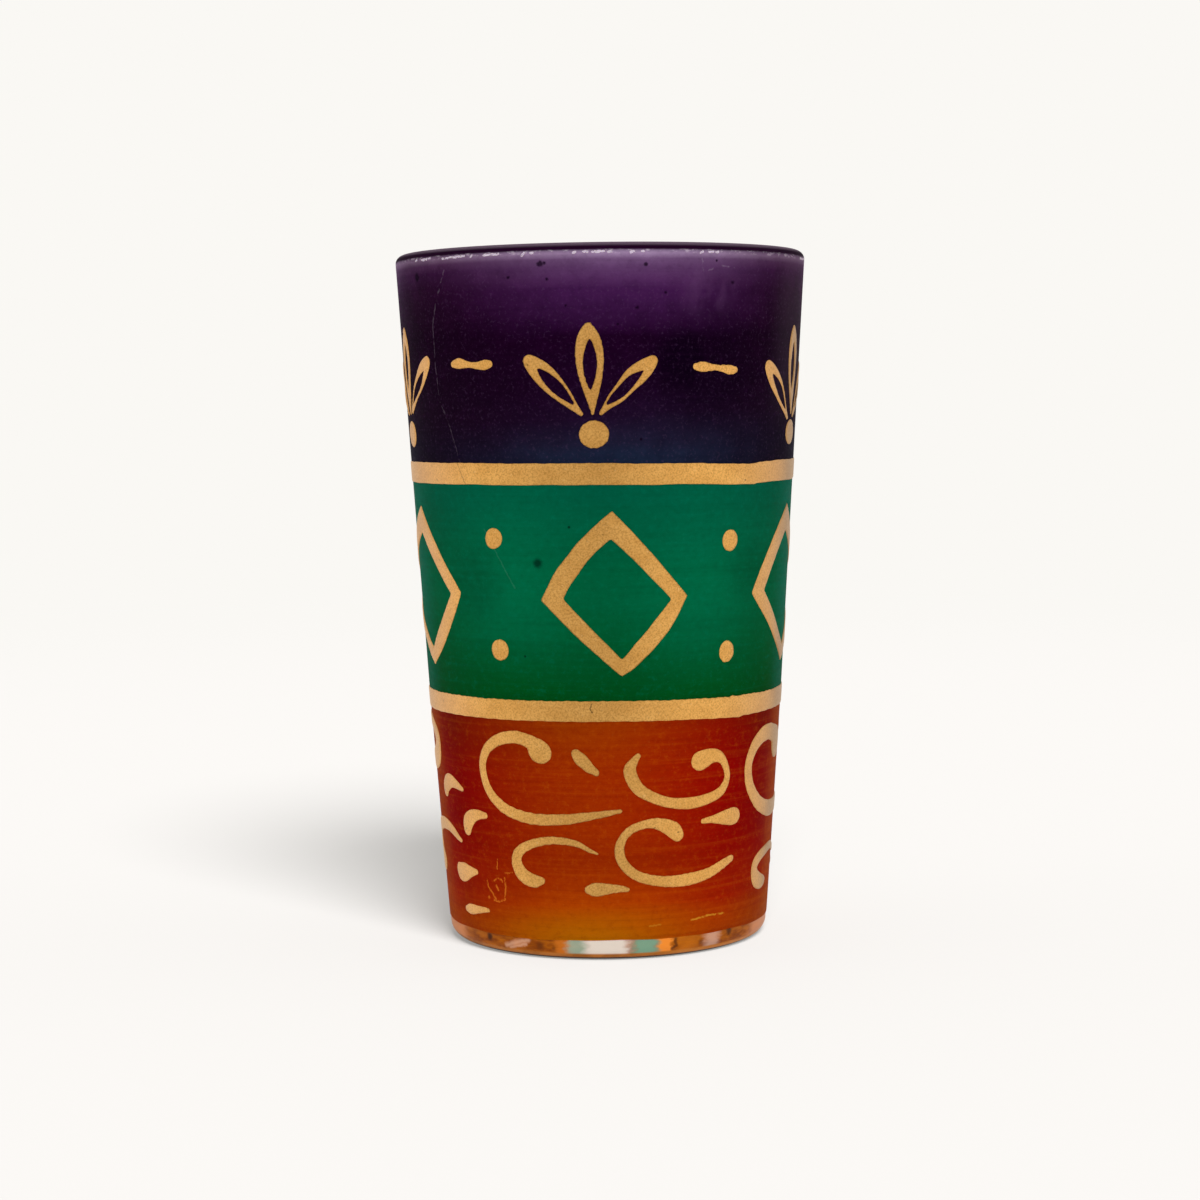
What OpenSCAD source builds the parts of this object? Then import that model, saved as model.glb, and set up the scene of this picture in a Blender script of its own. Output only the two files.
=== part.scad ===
// A tapered tea glass of clear pressed glass. Three coats of coloured lacquer cover its outside,
// and hand-drawn gold lies on the coats: two bands, palmettes, diamonds, dots, scrolls and drops.
// The glass stands on the plane z = 0 with its axis on Z, and its front faces -Y.
// Angles count round the axis from the front, positive towards +X.

/* [Glass] */
// Height of the bare glass
glass_h = 90; // [84:0.5:110]
// Outside diameter of the bare glass at the rim
rim_d = 53.8; // [50:0.2:62]
// Outside diameter of the bare glass behind the lower gold band
belt_d = 46.6; // [44:0.2:49]
// Outside diameter that the wall runs down to at the table
foot_d = 42; // [38:0.2:43.6]
// Wall thickness at the rim, which is rounded over
rim_wall = 2; // [1.4:0.1:3]
// Wall thickness from the inside floor up to the lower gold band
low_wall = 2.6; // [2:0.1:4]
// Thickness of the solid glass under the inside floor
floor_t = 7.5; // [4:0.5:12]
// Radius of the rounded corner round the foot
foot_r = 1.8; // [0.8:0.1:2.6]
// Radius of the corner between the inside floor and the wall
cavity_r = 4; // [2:0.5:8]
// Diameter of the shallow hollow under the foot
dish_d = 33; // [26:0.5:35]
// Depth of the shallow hollow under the foot
dish_h = 0.8; // [0.4:0.1:1.4]

/* [Colour coats] */
// Thickness of a coat of lacquer
coat_t = 0.1; // [0.08:0.01:0.2]
// Height of bare glass between the foot's round corner and the amber coat
bare_h = 0.8; // [0.2:0.1:2]
// Height of the middle of the lower gold band, where amber meets green
belt_h = 32; // [30:0.5:34]
// Height of the middle of the upper gold band, where green meets purple
collar_h = 61.8; // [60:0.2:63]

/* [Gold bands] */
// Thickness of the gold on the coats
gold_t = 0.12; // [0.08:0.01:0.3]
// Width of a gold band
band_w = 2.7; // [1.6:0.1:3.4]

/* [Palmettes] */
// Height of the purple field that the palmettes are drawn for; they stretch to the real one
palmette_field_h = 26.85; // [22:0.05:32]
// Width of a palmette's seed
seed_d = 3.8; // [2.4:0.1:4]
// Height of a seed's middle above the middle of the upper gold band
seed_rise = 4.9; // [4.2:0.1:5.2]
// Height of the petals' feet above the middle of the upper gold band
petal_rise = 7.3; // [7.2:0.1:8.5]
// Length of the upright petal
centre_petal_l = 11.35; // [9:0.05:13]
// Width of the upright petal
centre_petal_w = 3.5; // [2.8:0.1:3.8]
// Length of the opening in the upright petal
centre_slot_l = 6.2; // [4:0.1:7]
// Width of the opening in the upright petal
centre_slot_w = 1.6; // [1:0.1:1.9]
// Distance from the upright petal's foot to its opening
centre_slot_rise = 3.1; // [2.5:0.1:3.6]
// Length of a side petal
side_petal_l = 9.9; // [8:0.1:11]
// Width of a side petal
side_petal_w = 2.9; // [2.2:0.1:3.1]
// Length of the opening in a side petal
side_slot_l = 6; // [4:0.1:6.4]
// Width of the opening in a side petal
side_slot_w = 1.35; // [0.8:0.05:1.5]
// Distance from a side petal's foot to its opening
side_slot_rise = 1.8; // [1.5:0.1:2.4]
// Distance from the palmette's middle to the left petal's foot
left_petal_shift = 1.5; // [1.3:0.1:2.5]
// Distance from the palmette's middle to the right petal's foot
right_petal_shift = 1.15; // [1:0.05:2.5]
// Angle that the upright petal leans to the right, in degrees
centre_petal_angle = -2; // [-6:1:6]
// Angle that a left petal leans to the left, in degrees
left_petal_angle = 43; // [36:1:50]
// Angle that a right petal leans to the right, in degrees
right_petal_angle = 45; // [36:1:50]
// Length of a dash between two palmettes
dash_l = 6.8; // [4:0.1:8]
// Thickness of a dash
dash_t = 1.25; // [0.8:0.05:1.6]
// Height of a dash above the middle of the upper gold band
dash_rise = 13.3; // [11:0.1:15]

/* [Diamonds and dots] */
// Width of a diamond, measured round the glass
diamond_w = 18.8; // [14:0.2:20]
// Gap between a diamond's points and the gold bands
diamond_gap = 3.2; // [2:0.1:5]
// Diameter of a dot
dot_d = 2.6; // [1.6:0.1:3]
// Height of a lower dot's middle above the middle of the lower gold band
lower_dot_rise = 7.3; // [5:0.1:9]
// Drop of an upper dot's middle below the middle of the upper gold band
upper_dot_drop = 8.4; // [6:0.1:10]

/* [Scrolls and drops] */
// Thickness of a full brush stroke
stroke_t = 1.5; // [1.2:0.05:1.7]
// Width of a large C scroll, measured round the glass, as are the widths below
large_c_w = 19.6; // [17:0.1:20]
// Width of a hook scroll
hook_w = 12; // [10:0.1:12.4]
// Width of the curl scroll
curl_w = 12; // [10:0.1:12.4]
// Width of a U scroll
u_scroll_w = 15.1; // [13:0.1:15.6]
// Width of a small C scroll
small_c_w = 17.7; // [15:0.1:18.2]
// Width of a slanted teardrop
slanted_drop_w = 3.6; // [2.8:0.1:4]
// Width of a side teardrop
side_drop_w = 7; // [5.5:0.1:7.3]
// Width of a lower teardrop
lower_drop_w = 6; // [4.8:0.1:6.3]
// Width of the upper crescent
upper_crescent_w = 6.2; // [5:0.1:6.4]
// Width of the lower crescent
lower_crescent_w = 5.6; // [4.4:0.1:5.8]
// Width of the column teardrop
column_drop_w = 5.7; // [4.4:0.1:6]
// Width of the base teardrop
base_drop_w = 5.8; // [4.4:0.1:6]

/* [Hidden] */

clear_glass = [0.86, 0.9, 0.88, 0.45];
purple = [0.24, 0.07, 0.3];
green = [0, 0.38, 0.26];
amber = [0.62, 0.18, 0.02];
gold = [0.82, 0.6, 0.32];

// Facets of every turned surface, steps between two points of a stroke, steps of a round end,
// and steps of the other outlines
turned_facets = 180;
dish_facets = 360;
stroke_steps = 3;
cap_steps = 6;
leaf_steps = 14;
seed_steps = 30;
bow_steps = 6;

// Slopes of the wall, measured from the vertical
low_slope = atan((belt_d - foot_d) / 2 / belt_h);
high_slope = atan((rim_d - belt_d) / 2 / (glass_h - belt_h));

// Middle of the rounded lip in the section
lip_r = rim_wall / 2;
lip_z = glass_h - lip_r;
lip_x = glass_at(lip_z) - lip_r / cos(high_slope);
coated_lip_r = lip_r + coat_t * cos(high_slope);

// Middle of the foot's rounded corner in the section
foot_x = glass_at(foot_r) - foot_r / cos(low_slope);

// The inside wall runs low_wall from the outside up to the belt, and from there to the lip
inside_belt_x = belt_d / 2 - low_wall;
lip_reach = norm([lip_x - inside_belt_x, lip_z - belt_h]);
inside_slope = acos(lip_r / lip_reach) - atan2(lip_z - belt_h, lip_x - inside_belt_x);
cavity_z = floor_t + cavity_r;
cavity_x = glass_at(cavity_z) - low_wall - cavity_r / cos(low_slope);

// The hollow under the foot is part of a large ball
dish_ball_r = (dish_d * dish_d / 4 + dish_h * dish_h) / (2 * dish_h);

// The coloured fields that the gold lies in
amber_foot = foot_r + bare_h;
amber_field_h = belt_h - band_w / 2 - amber_foot;
green_foot = belt_h + band_w / 2;
green_field_h = collar_h - belt_h - band_w;
diamond_h = green_field_h - 2 * diamond_gap;
palmette_stretch = (glass_h - collar_h - band_w / 2) / palmette_field_h;

// Angles of the repeats round the glass
palmette_angles = [-74.5, -2.5, 72, 143, 213.5];
dash_angles = [-38.8, 33.1, 107.5, 178, 249.5];
diamond_angles = [-70.6, 3.2, 73, 144.5, 217];
dot_angles = [-33.8, 40, 108.5, 180.5, 253];

// Angles of the scrolls and drops, each with its lift as a share of the amber field's height
large_c_place_shares = [[-20.1, 0], [76.3, -0.043], [175, 0]];
hook_place_shares = [[-73, 0], [-18.3, 0], [73, -0.08], [176, 0]];
curl_place_shares = [[-86, 0]];
u_scroll_place_shares = [[24.3, 0], [123, 0.01], [222, 0]];
small_c_place_shares = [[24.8, 0], [123.5, 0], [222.5, 0.01]];
slanted_drop_place_shares = [[-6.5, 0], [94.5, 0.02], [193.5, 0]];
side_drop_place_shares = [[40.7, 0], [139.5, 0], [238.5, 0]];
lower_drop_place_shares = [[-0.4, 0], [96, 0], [195, 0]];
single_place_shares = [[0, 0]];

// Height of a seed as a share of its width
seed_height_share = 0.9;

// Where a leaf is widest, as a share of its length, and how full its ends are
leaf_belly_share = 0.6;
leaf_fill_share = 0.8;
leaf_power = ln(0.5) / ln(leaf_belly_share);

// A dash's points: share of its length, share of its thickness up, share of its thickness
dash_shares = [[0.06, 0.08, 0.62], [0.23, 0.1, 1], [0.52, 0, 0.58], [0.8, -0.04, 0.96], [0.95, -0.06, 0.62]];

// A diamond's corners from its middle, as shares of its half width and half height
diamond_outer_shares = [[-1, -0.08], [-0.03, 1], [1, -0.05], [0.08, -1]];
diamond_inner_shares = [[-0.69, -0.05], [-0.05, 0.67], [0.77, -0.08], [0.08, -0.79]];
// How far each side bows outward, as a share of the diamond's width
diamond_outer_bow_shares = [0.045, 0.002, 0.05, 0.008];
diamond_inner_bow_shares = [0.025, 0.004, 0.006, 0.006];

// Brush strokes of the amber field. A point is the share of the stroke's width round the glass,
// the share of the stroke's height, and its thickness as a share of stroke_t.
large_c_shares = [
    [0.48, 0.78, 2], [0.4, 0.89, 1.4], [0.3, 0.93, 1.13], [0.19, 0.9, 1.03], [0.1, 0.8, 0.9],
    [0.04, 0.67, 0.8], [0.03, 0.54, 0.77], [0.06, 0.37, 0.8], [0.13, 0.22, 0.9], [0.24, 0.11, 0.97],
    [0.42, 0.06, 1], [0.62, 0.07, 0.93], [0.8, 0.11, 0.7], [0.98, 0.16, 0.4]
];
hook_shares = [
    [0.37, 0.11, 0.6], [0.25, 0.14, 1.2], [0.125, 0.25, 1.27], [0.065, 0.45, 1.05], [0.085, 0.64, 0.9],
    [0.2, 0.8, 0.8], [0.35, 0.885, 0.73], [0.51, 0.925, 0.67], [0.67, 0.91, 0.6], [0.8, 0.84, 0.5],
    [0.92, 0.73, 0.34], [0.99, 0.67, 0.2]
];
u_scroll_shares = [
    [0.13, 0.97, 0.25], [0.08, 0.84, 0.7], [0.065, 0.67, 1.05], [0.11, 0.44, 1.05], [0.22, 0.27, 0.97],
    [0.39, 0.14, 0.93], [0.6, 0.1, 1], [0.78, 0.15, 0.9], [0.91, 0.26, 0.8], [0.965, 0.44, 0.66],
    [0.95, 0.62, 0.66], [0.89, 0.78, 0.8], [0.82, 0.85, 1.1], [0.75, 0.86, 1.33], [0.67, 0.82, 1.67]
];
small_c_shares = [
    [0.455, 0.775, 1.4], [0.38, 0.87, 1.27], [0.31, 0.92, 1], [0.23, 0.925, 0.77], [0.13, 0.86, 0.73],
    [0.06, 0.74, 0.75], [0.035, 0.58, 0.83], [0.06, 0.4, 0.87], [0.13, 0.25, 0.87], [0.24, 0.15, 0.9],
    [0.39, 0.095, 0.97], [0.57, 0.1, 1.05], [0.75, 0.155, 0.93], [0.88, 0.25, 0.83], [0.97, 0.3, 0.65]
];
slanted_drop_shares = [[0.2, 0.79, 1], [0.34, 0.6, 1.07], [0.61, 0.3, 0.8], [0.93, 0.08, 0.3]];
side_drop_shares = [
    [0.04, 0.48, 0.37], [0.27, 0.52, 0.6], [0.52, 0.52, 1.07], [0.78, 0.51, 1.47], [0.85, 0.49, 1.4]
];
lower_drop_shares = [[0.14, 0.53, 0.93], [0.3, 0.5, 1.15], [0.59, 0.55, 0.8], [0.95, 0.46, 0.3]];
upper_crescent_shares = [
    [0.12, 0.3, 1], [0.19, 0.52, 1.27], [0.41, 0.71, 1.05], [0.66, 0.64, 0.7], [0.93, 0.39, 0.4]
];
lower_crescent_shares = [
    [0.25, 0.27, 1.13], [0.27, 0.55, 1.13], [0.44, 0.77, 0.93], [0.69, 0.87, 0.67], [0.94, 0.9, 0.45]
];
column_drop_shares = [[0.22, 0.49, 1.4], [0.42, 0.52, 1.55], [0.66, 0.6, 1.05], [0.93, 0.7, 0.45]];
base_drop_shares = [[0.12, 0.45, 0.67], [0.32, 0.47, 0.93], [0.62, 0.57, 0.67], [0.95, 0.7, 0.4]];

// Bottom and height of each stroke, as shares of the amber field's height
large_c_field_shares = [0.528, 0.427];
hook_field_shares = [0.235, 0.244];
curl_field_shares = [0.724, 0.244];
u_scroll_field_shares = [0.59, 0.267];
small_c_field_shares = [0.233, 0.324];
slanted_drop_field_shares = [0.758, 0.126];
side_drop_field_shares = [0.49, 0.08];
lower_drop_field_shares = [0.203, 0.064];
upper_crescent_field_shares = [0.616, 0.1];
lower_crescent_field_shares = [0.443, 0.125];
column_drop_field_shares = [0.21, 0.096];
base_drop_field_shares = [0.068, 0.061];

// Angles of the middles of the four strokes that are drawn once
upper_crescent_angle = -62.5;
lower_crescent_angle = -50;
column_drop_angle = -57.2;
base_drop_angle = -52.7;

// Radius on the straight line through (z0, r0) and (z1, r1)
function line_at(z, z0, r0, z1, r1) = r0 + (r1 - r0) * (z - z0) / (z1 - z0);

// Outside radius of the bare glass, and of the lacquered glass, at a height
function glass_at(z) = z < belt_h
    ? line_at(z, 0, foot_d / 2, belt_h, belt_d / 2)
    : line_at(z, belt_h, belt_d / 2, glass_h, rim_d / 2);
function coated_at(z) = glass_at(z) + coat_t;

// A point in the direction of an angle from a middle
function polar(middle, r, angle) = [middle[0] + r * cos(angle), middle[1] + r * sin(angle)];

// The flat place of a point that is x round the glass and z up, seen square on at the reference height
function wrapped(p, z_ref) = [coated_at(p[1]) * sin(p[0] / coated_at(z_ref) * 180 / PI), p[1]];
function wrap_all(points, z_ref) = [for (p = points) wrapped(p, z_ref)];

// Points of the palmettes' drawing, which starts at the upper gold band, stretched to the field
function stretched(points) = [
    for (p = points) [p[0], collar_h + (p[1] - collar_h) * palmette_stretch]
];

// Points turned by an angle from the vertical and moved
function set_at(points, lean, x, z) = [
    for (p = points) [x + p[0] * cos(lean) + p[1] * sin(lean), z - p[0] * sin(lean) + p[1] * cos(lean)]
];

// Smooth curve through a list of points that hold x, z and thickness
function spline_point(a, b, c, d, t) =
    (2 * b + (c - a) * t + (2 * a - 5 * b + 4 * c - d) * t * t + (3 * b - a - 3 * c + d) * t * t * t) / 2;
function spline(p) = [
    for (i = [0:len(p) - 2]) for (k = [0:stroke_steps - 1])
        spline_point(p[max(i - 1, 0)], p[i], p[i + 1], p[min(i + 2, len(p) - 1)], k / stroke_steps),
    p[len(p) - 1]
];
function heading(q, i) =
    let (a = q[max(i - 1, 0)], b = q[min(i + 1, len(q) - 1)]) atan2(b[1] - a[1], b[0] - a[0]);

// Outline of a brush stroke with round ends
function stroke_side(q, i, turn) = polar(q[i], q[i][2] / 2, heading(q, i) + turn);
function stroke_cap(q, i, turn) = [
    for (k = [1:cap_steps - 1]) polar(q[i], q[i][2] / 2, heading(q, i) + turn + k * 180 / cap_steps)
];
function stroke_outline(q) = concat(
    [for (i = [0:len(q) - 1]) stroke_side(q, i, -90)],
    stroke_cap(q, len(q) - 1, -90),
    [for (i = [len(q) - 1:-1:0]) stroke_side(q, i, 90)],
    stroke_cap(q, 0, 90)
);

// Outline of a leaf that stands on the origin
function leaf_side(w, t) = w / 2 * pow(sin(180 * pow(t, leaf_power)), leaf_fill_share);
function leaf_time(i) = (1 - cos(180 * i / leaf_steps)) / 2;
function leaf(l, w) = concat(
    [for (i = [0:leaf_steps]) [i == leaf_steps ? 0 : leaf_side(w, leaf_time(i)), l * leaf_time(i)]],
    [for (i = [leaf_steps - 1:-1:1]) [-leaf_side(w, leaf_time(i)), l * leaf_time(i)]]
);

// Outline through corners whose sides bow outward; the corners run clockwise
function bowed_side(a, b, bow) = [
    for (k = [0:bow_steps - 1])
        let (t = k / bow_steps, side = b - a, reach = 4 * t * (1 - t) * bow / norm(side))
            a + side * t + [-side[1], side[0]] * reach
];
function bowed(corners, bows) = [
    for (i = [0:len(corners) - 1]) each bowed_side(corners[i], corners[(i + 1) % len(corners)], bows[i])
];

// Half section of the space inside the outer wall when it is thicker by a layer
module wall_section(layer) {
    polygon([
        [0, 0],
        [foot_d / 2 + layer, 0],
        [belt_d / 2 + layer, belt_h],
        [rim_d / 2 + layer, glass_h],
        [0, glass_h]
    ]);
}

// Section of the bare glass: the wall's outside, cut to the foot, the lip and the inside
module glass_section() {
    difference() {
        intersection() {
            wall_section(0);
            union() {
                polygon([
                    [0, 0],
                    [foot_x, 0],
                    polar([foot_x, foot_r], foot_r, -low_slope),
                    polar([foot_x, foot_r], rim_d, -low_slope),
                    polar([lip_x, lip_z], rim_d, -high_slope),
                    polar([lip_x, lip_z], lip_r, -high_slope),
                    polar([lip_x, lip_z], lip_r, 180 - inside_slope),
                    [inside_belt_x, belt_h],
                    polar([cavity_x, cavity_z], cavity_r, -low_slope),
                    [cavity_x, floor_t],
                    [0, floor_t]
                ]);
                translate([foot_x, foot_r]) circle(r = foot_r, $fn = turned_facets);
                translate([lip_x, lip_z]) circle(r = lip_r, $fn = turned_facets);
            }
        }
        translate([cavity_x, cavity_z]) circle(r = cavity_r, $fn = turned_facets);
    }
}

// Section of a layer on the wall between two heights
module layer_section(base, thickness, low, high) {
    intersection() {
        difference() {
            wall_section(base + thickness);
            wall_section(base);
        }
        translate([0, low]) square([rim_d, high - low]);
    }
}

module coat_layer(low, high)
    rotate_extrude($fn = turned_facets) layer_section(0, coat_t, low, high);
module gold_layer(low, high)
    rotate_extrude($fn = turned_facets) layer_section(coat_t, gold_t, low, high);

// Keeps the gold layer between two heights where the children's flat drawings are
module gold_between(low, high) {
    color(gold) intersection() {
        gold_layer(low, high);
        union() children();
    }
}

// A flat drawing carried outward at an angle round the glass, from halfway between axis and foot
module facing(angle)
    rotate([90, 0, angle]) translate([0, 0, foot_d / 4]) linear_extrude(height = rim_d) children();

module glass_body() {
    color(clear_glass) difference() {
        rotate_extrude($fn = turned_facets) glass_section();
        translate([0, 0, dish_h - dish_ball_r]) sphere(r = dish_ball_r, $fn = dish_facets);
    }
}

// The purple coat runs up the wall and over the outer half of the lip
module purple_coat() {
    lip = [lip_x, lip_z];
    beyond = polar(lip, rim_d, -high_slope);
    color(purple) rotate_extrude($fn = turned_facets) {
        intersection() {
            layer_section(0, coat_t, collar_h, lip_z);
            polygon([[0, collar_h], [beyond[0], collar_h], beyond, lip, [0, lip_z]]);
        }
        intersection() {
            difference() {
                translate(lip) circle(r = coated_lip_r, $fn = turned_facets);
                translate(lip) circle(r = lip_r, $fn = turned_facets);
            }
            polygon([lip, beyond, [beyond[0], lip_z + rim_wall], [lip_x, lip_z + rim_wall]]);
        }
    }
}

module green_coat() color(green) coat_layer(belt_h, collar_h);
module amber_coat() color(amber) coat_layer(amber_foot, belt_h);
module upper_gold_band() color(gold) gold_layer(collar_h - band_w / 2, collar_h + band_w / 2);
module lower_gold_band() color(gold) gold_layer(belt_h - band_w / 2, belt_h + band_w / 2);

// A petal with its opening, leaning by an angle, with its foot moved sideways
module petals(l, w, slot_l, slot_w, slot_rise, lean, shift) {
    foot_z = collar_h + petal_rise;
    slot = set_at(leaf(slot_l, slot_w), 0, 0, slot_rise);
    gold_between(collar_h, lip_z - lip_r)
        for (angle = palmette_angles) facing(angle) difference() {
            polygon(wrap_all(stretched(set_at(leaf(l, w), lean, shift, foot_z)), foot_z));
            polygon(wrap_all(stretched(set_at(slot, lean, shift, foot_z)), foot_z));
        }
}

module side_petals(lean, shift)
    petals(side_petal_l, side_petal_w, side_slot_l, side_slot_w, side_slot_rise, lean, shift);

module palmette_centre_petals()
    petals(centre_petal_l, centre_petal_w, centre_slot_l, centre_slot_w, centre_slot_rise,
        centre_petal_angle, 0);
module palmette_left_petals() side_petals(-left_petal_angle, -left_petal_shift);
module palmette_right_petals() side_petals(right_petal_angle, right_petal_shift);

// Round spots at a height, one at each angle
module spots(d, z, angles) {
    gold_between(z - d, z + d)
        for (angle = angles) facing(angle) translate([0, z]) circle(d = d, $fn = turned_facets);
}

// A seed is a flattened round
module palmette_seeds() {
    z = collar_h + seed_rise;
    outline = [
        for (i = [0:seed_steps - 1])
            let (turn = 360 * i / seed_steps)
                [seed_d / 2 * cos(turn), z + seed_d / 2 * seed_height_share * sin(turn)]
    ];
    gold_between(collar_h, lip_z - lip_r)
        for (angle = palmette_angles) facing(angle) polygon(wrap_all(stretched(outline), z));
}

module upper_gold_dots() spots(dot_d, collar_h - upper_dot_drop, dot_angles);
module lower_gold_dots() spots(dot_d, belt_h + lower_dot_rise, dot_angles);

module gold_dashes() {
    z = collar_h + dash_rise;
    path = [for (p = dash_shares) [(p[0] - 0.5) * dash_l, z + p[1] * dash_t, p[2] * dash_t]];
    gold_between(collar_h, lip_z - lip_r)
        for (angle = dash_angles)
            facing(angle) polygon(wrap_all(stretched(stroke_outline(spline(path))), z));
}

module diamond_frames() {
    z = green_foot + green_field_h / 2;
    half = [diamond_w / 2, diamond_h / 2];
    outer = [for (p = diamond_outer_shares) [p[0] * half[0], z + p[1] * half[1]]];
    inner = [for (p = diamond_inner_shares) [p[0] * half[0], z + p[1] * half[1]]];
    gold_between(belt_h, collar_h)
        for (angle = diamond_angles) facing(angle) difference() {
            polygon(wrap_all(bowed(outer, diamond_outer_bow_shares * diamond_w), z));
            polygon(wrap_all(bowed(inner, diamond_inner_bow_shares * diamond_w), z));
        }
}

// Brush strokes of one kind in the amber field, at their places round the glass. Mirrored strokes
// run the other way round.
module strokes(shares, w, field_shares, place_shares, turn = 0, mirrored = false) {
    flip = mirrored ? -1 : 1;
    z_mid = amber_foot + amber_field_h / 2;
    gold_between(amber_foot, belt_h - band_w / 2)
        for (place = place_shares) {
            foot_z = amber_foot + (field_shares[0] + place[1]) * amber_field_h;
            h = field_shares[1] * amber_field_h;
            path = [for (p = shares) [flip * (p[0] - 0.5) * w, foot_z + p[1] * h, p[2] * stroke_t]];
            facing(place[0] + turn) polygon(wrap_all(stroke_outline(spline(path)), z_mid));
        }
}

module large_c_scrolls() strokes(large_c_shares, large_c_w, large_c_field_shares, large_c_place_shares);
module hook_scrolls() strokes(hook_shares, hook_w, hook_field_shares, hook_place_shares);
module curl_scroll() strokes(hook_shares, curl_w, curl_field_shares, curl_place_shares, mirrored = true);
module u_scrolls() strokes(u_scroll_shares, u_scroll_w, u_scroll_field_shares, u_scroll_place_shares);
module small_c_scrolls() strokes(small_c_shares, small_c_w, small_c_field_shares, small_c_place_shares);
module slanted_teardrops()
    strokes(slanted_drop_shares, slanted_drop_w, slanted_drop_field_shares, slanted_drop_place_shares);
module side_teardrops()
    strokes(side_drop_shares, side_drop_w, side_drop_field_shares, side_drop_place_shares);
module lower_teardrops()
    strokes(lower_drop_shares, lower_drop_w, lower_drop_field_shares, lower_drop_place_shares);
module upper_crescent()
    strokes(upper_crescent_shares, upper_crescent_w, upper_crescent_field_shares, single_place_shares,
        upper_crescent_angle);
module lower_crescent()
    strokes(lower_crescent_shares, lower_crescent_w, lower_crescent_field_shares, single_place_shares,
        lower_crescent_angle);
module column_teardrop()
    strokes(column_drop_shares, column_drop_w, column_drop_field_shares, single_place_shares,
        column_drop_angle);
module base_teardrop()
    strokes(base_drop_shares, base_drop_w, base_drop_field_shares, single_place_shares, base_drop_angle);

glass_body();
purple_coat();
green_coat();
amber_coat();
upper_gold_band();
lower_gold_band();
palmette_seeds();
palmette_centre_petals();
palmette_left_petals();
palmette_right_petals();
gold_dashes();
diamond_frames();
upper_gold_dots();
lower_gold_dots();
large_c_scrolls();
hook_scrolls();
curl_scroll();
u_scrolls();
small_c_scrolls();
slanted_teardrops();
side_teardrops();
lower_teardrops();
upper_crescent();
lower_crescent();
column_teardrop();
base_teardrop();
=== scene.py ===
import math

import bpy
import numpy as np
from mathutils import Matrix, Vector


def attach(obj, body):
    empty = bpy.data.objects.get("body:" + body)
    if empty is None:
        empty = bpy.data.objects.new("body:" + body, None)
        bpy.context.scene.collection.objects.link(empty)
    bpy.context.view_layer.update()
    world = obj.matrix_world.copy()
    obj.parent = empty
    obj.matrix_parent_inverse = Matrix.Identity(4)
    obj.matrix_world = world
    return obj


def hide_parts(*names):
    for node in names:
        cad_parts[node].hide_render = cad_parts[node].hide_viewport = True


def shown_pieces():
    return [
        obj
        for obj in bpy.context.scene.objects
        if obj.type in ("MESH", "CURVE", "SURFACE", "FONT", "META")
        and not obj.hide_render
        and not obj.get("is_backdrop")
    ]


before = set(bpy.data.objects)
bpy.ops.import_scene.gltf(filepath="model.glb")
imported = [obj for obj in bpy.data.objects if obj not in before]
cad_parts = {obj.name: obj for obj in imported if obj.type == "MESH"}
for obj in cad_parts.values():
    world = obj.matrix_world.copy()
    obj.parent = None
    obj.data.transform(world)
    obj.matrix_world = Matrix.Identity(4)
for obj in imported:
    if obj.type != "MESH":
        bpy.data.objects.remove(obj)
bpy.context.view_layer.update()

# The glass stands on z = 0 with its axis on Z and its front towards -Y. Sizes below are millimetres,
# and angles are degrees round the axis from the front, positive towards +X.
MM = 0.001

# Bare glass
GLASS_H = 90.0
RIM_R = 26.9
BELT_R = 23.3
FOOT_R = 21.0
BELT_Z = 32.0
COLLAR_Z = 61.8
LIP_R = 1.0
LOW_WALL = 2.6
FLOOR_Z = 7.5
FOOT_ROUND = 1.8
CAVITY_R = 4.0
DISH_R = 16.5
DISH_H = 0.8

# Lacquer and gold
COAT = 0.1
GOLD = 0.12
AMBER_Z = 2.6
# How deep lacquer and paint reach into what carries them
SUNK = 0.015
# The paint's edge over the lacquer, and the rise from there to its ridge
EDGE_LIFT = 0.028
RISE = GOLD - 0.034
# How far in from its edge a stroke or a band has its full height
STROKE_RIDGE = 0.26
BAND_RIDGE = 0.3
# Half the step over which a drawing's slope is measured
PROBE = 1e-3

# Steps round the glass
WALL_STEPS = 224
BAND_STEPS = 720

LOW_SLOPE = math.atan((BELT_R - FOOT_R) / BELT_Z)
HIGH_SLOPE = math.atan((RIM_R - BELT_R) / (GLASS_H - BELT_Z))


def glass_at(z):
    """Outside radius of the bare glass at a height."""
    z = np.asarray(z, float)
    low = FOOT_R + (BELT_R - FOOT_R) * z / BELT_Z
    high = BELT_R + (RIM_R - BELT_R) * (z - BELT_Z) / (GLASS_H - BELT_Z)
    return np.where(z < BELT_Z, low, high)


def coated_at(z):
    """Outside radius of the lacquered glass at a height."""
    return glass_at(z) + COAT


LIP_Z = GLASS_H - LIP_R
LIP_X = float(glass_at(LIP_Z)) - LIP_R / math.cos(HIGH_SLOPE)
FOOT_X = float(glass_at(FOOT_ROUND)) - FOOT_ROUND / math.cos(LOW_SLOPE)


# Mesh helpers

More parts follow.
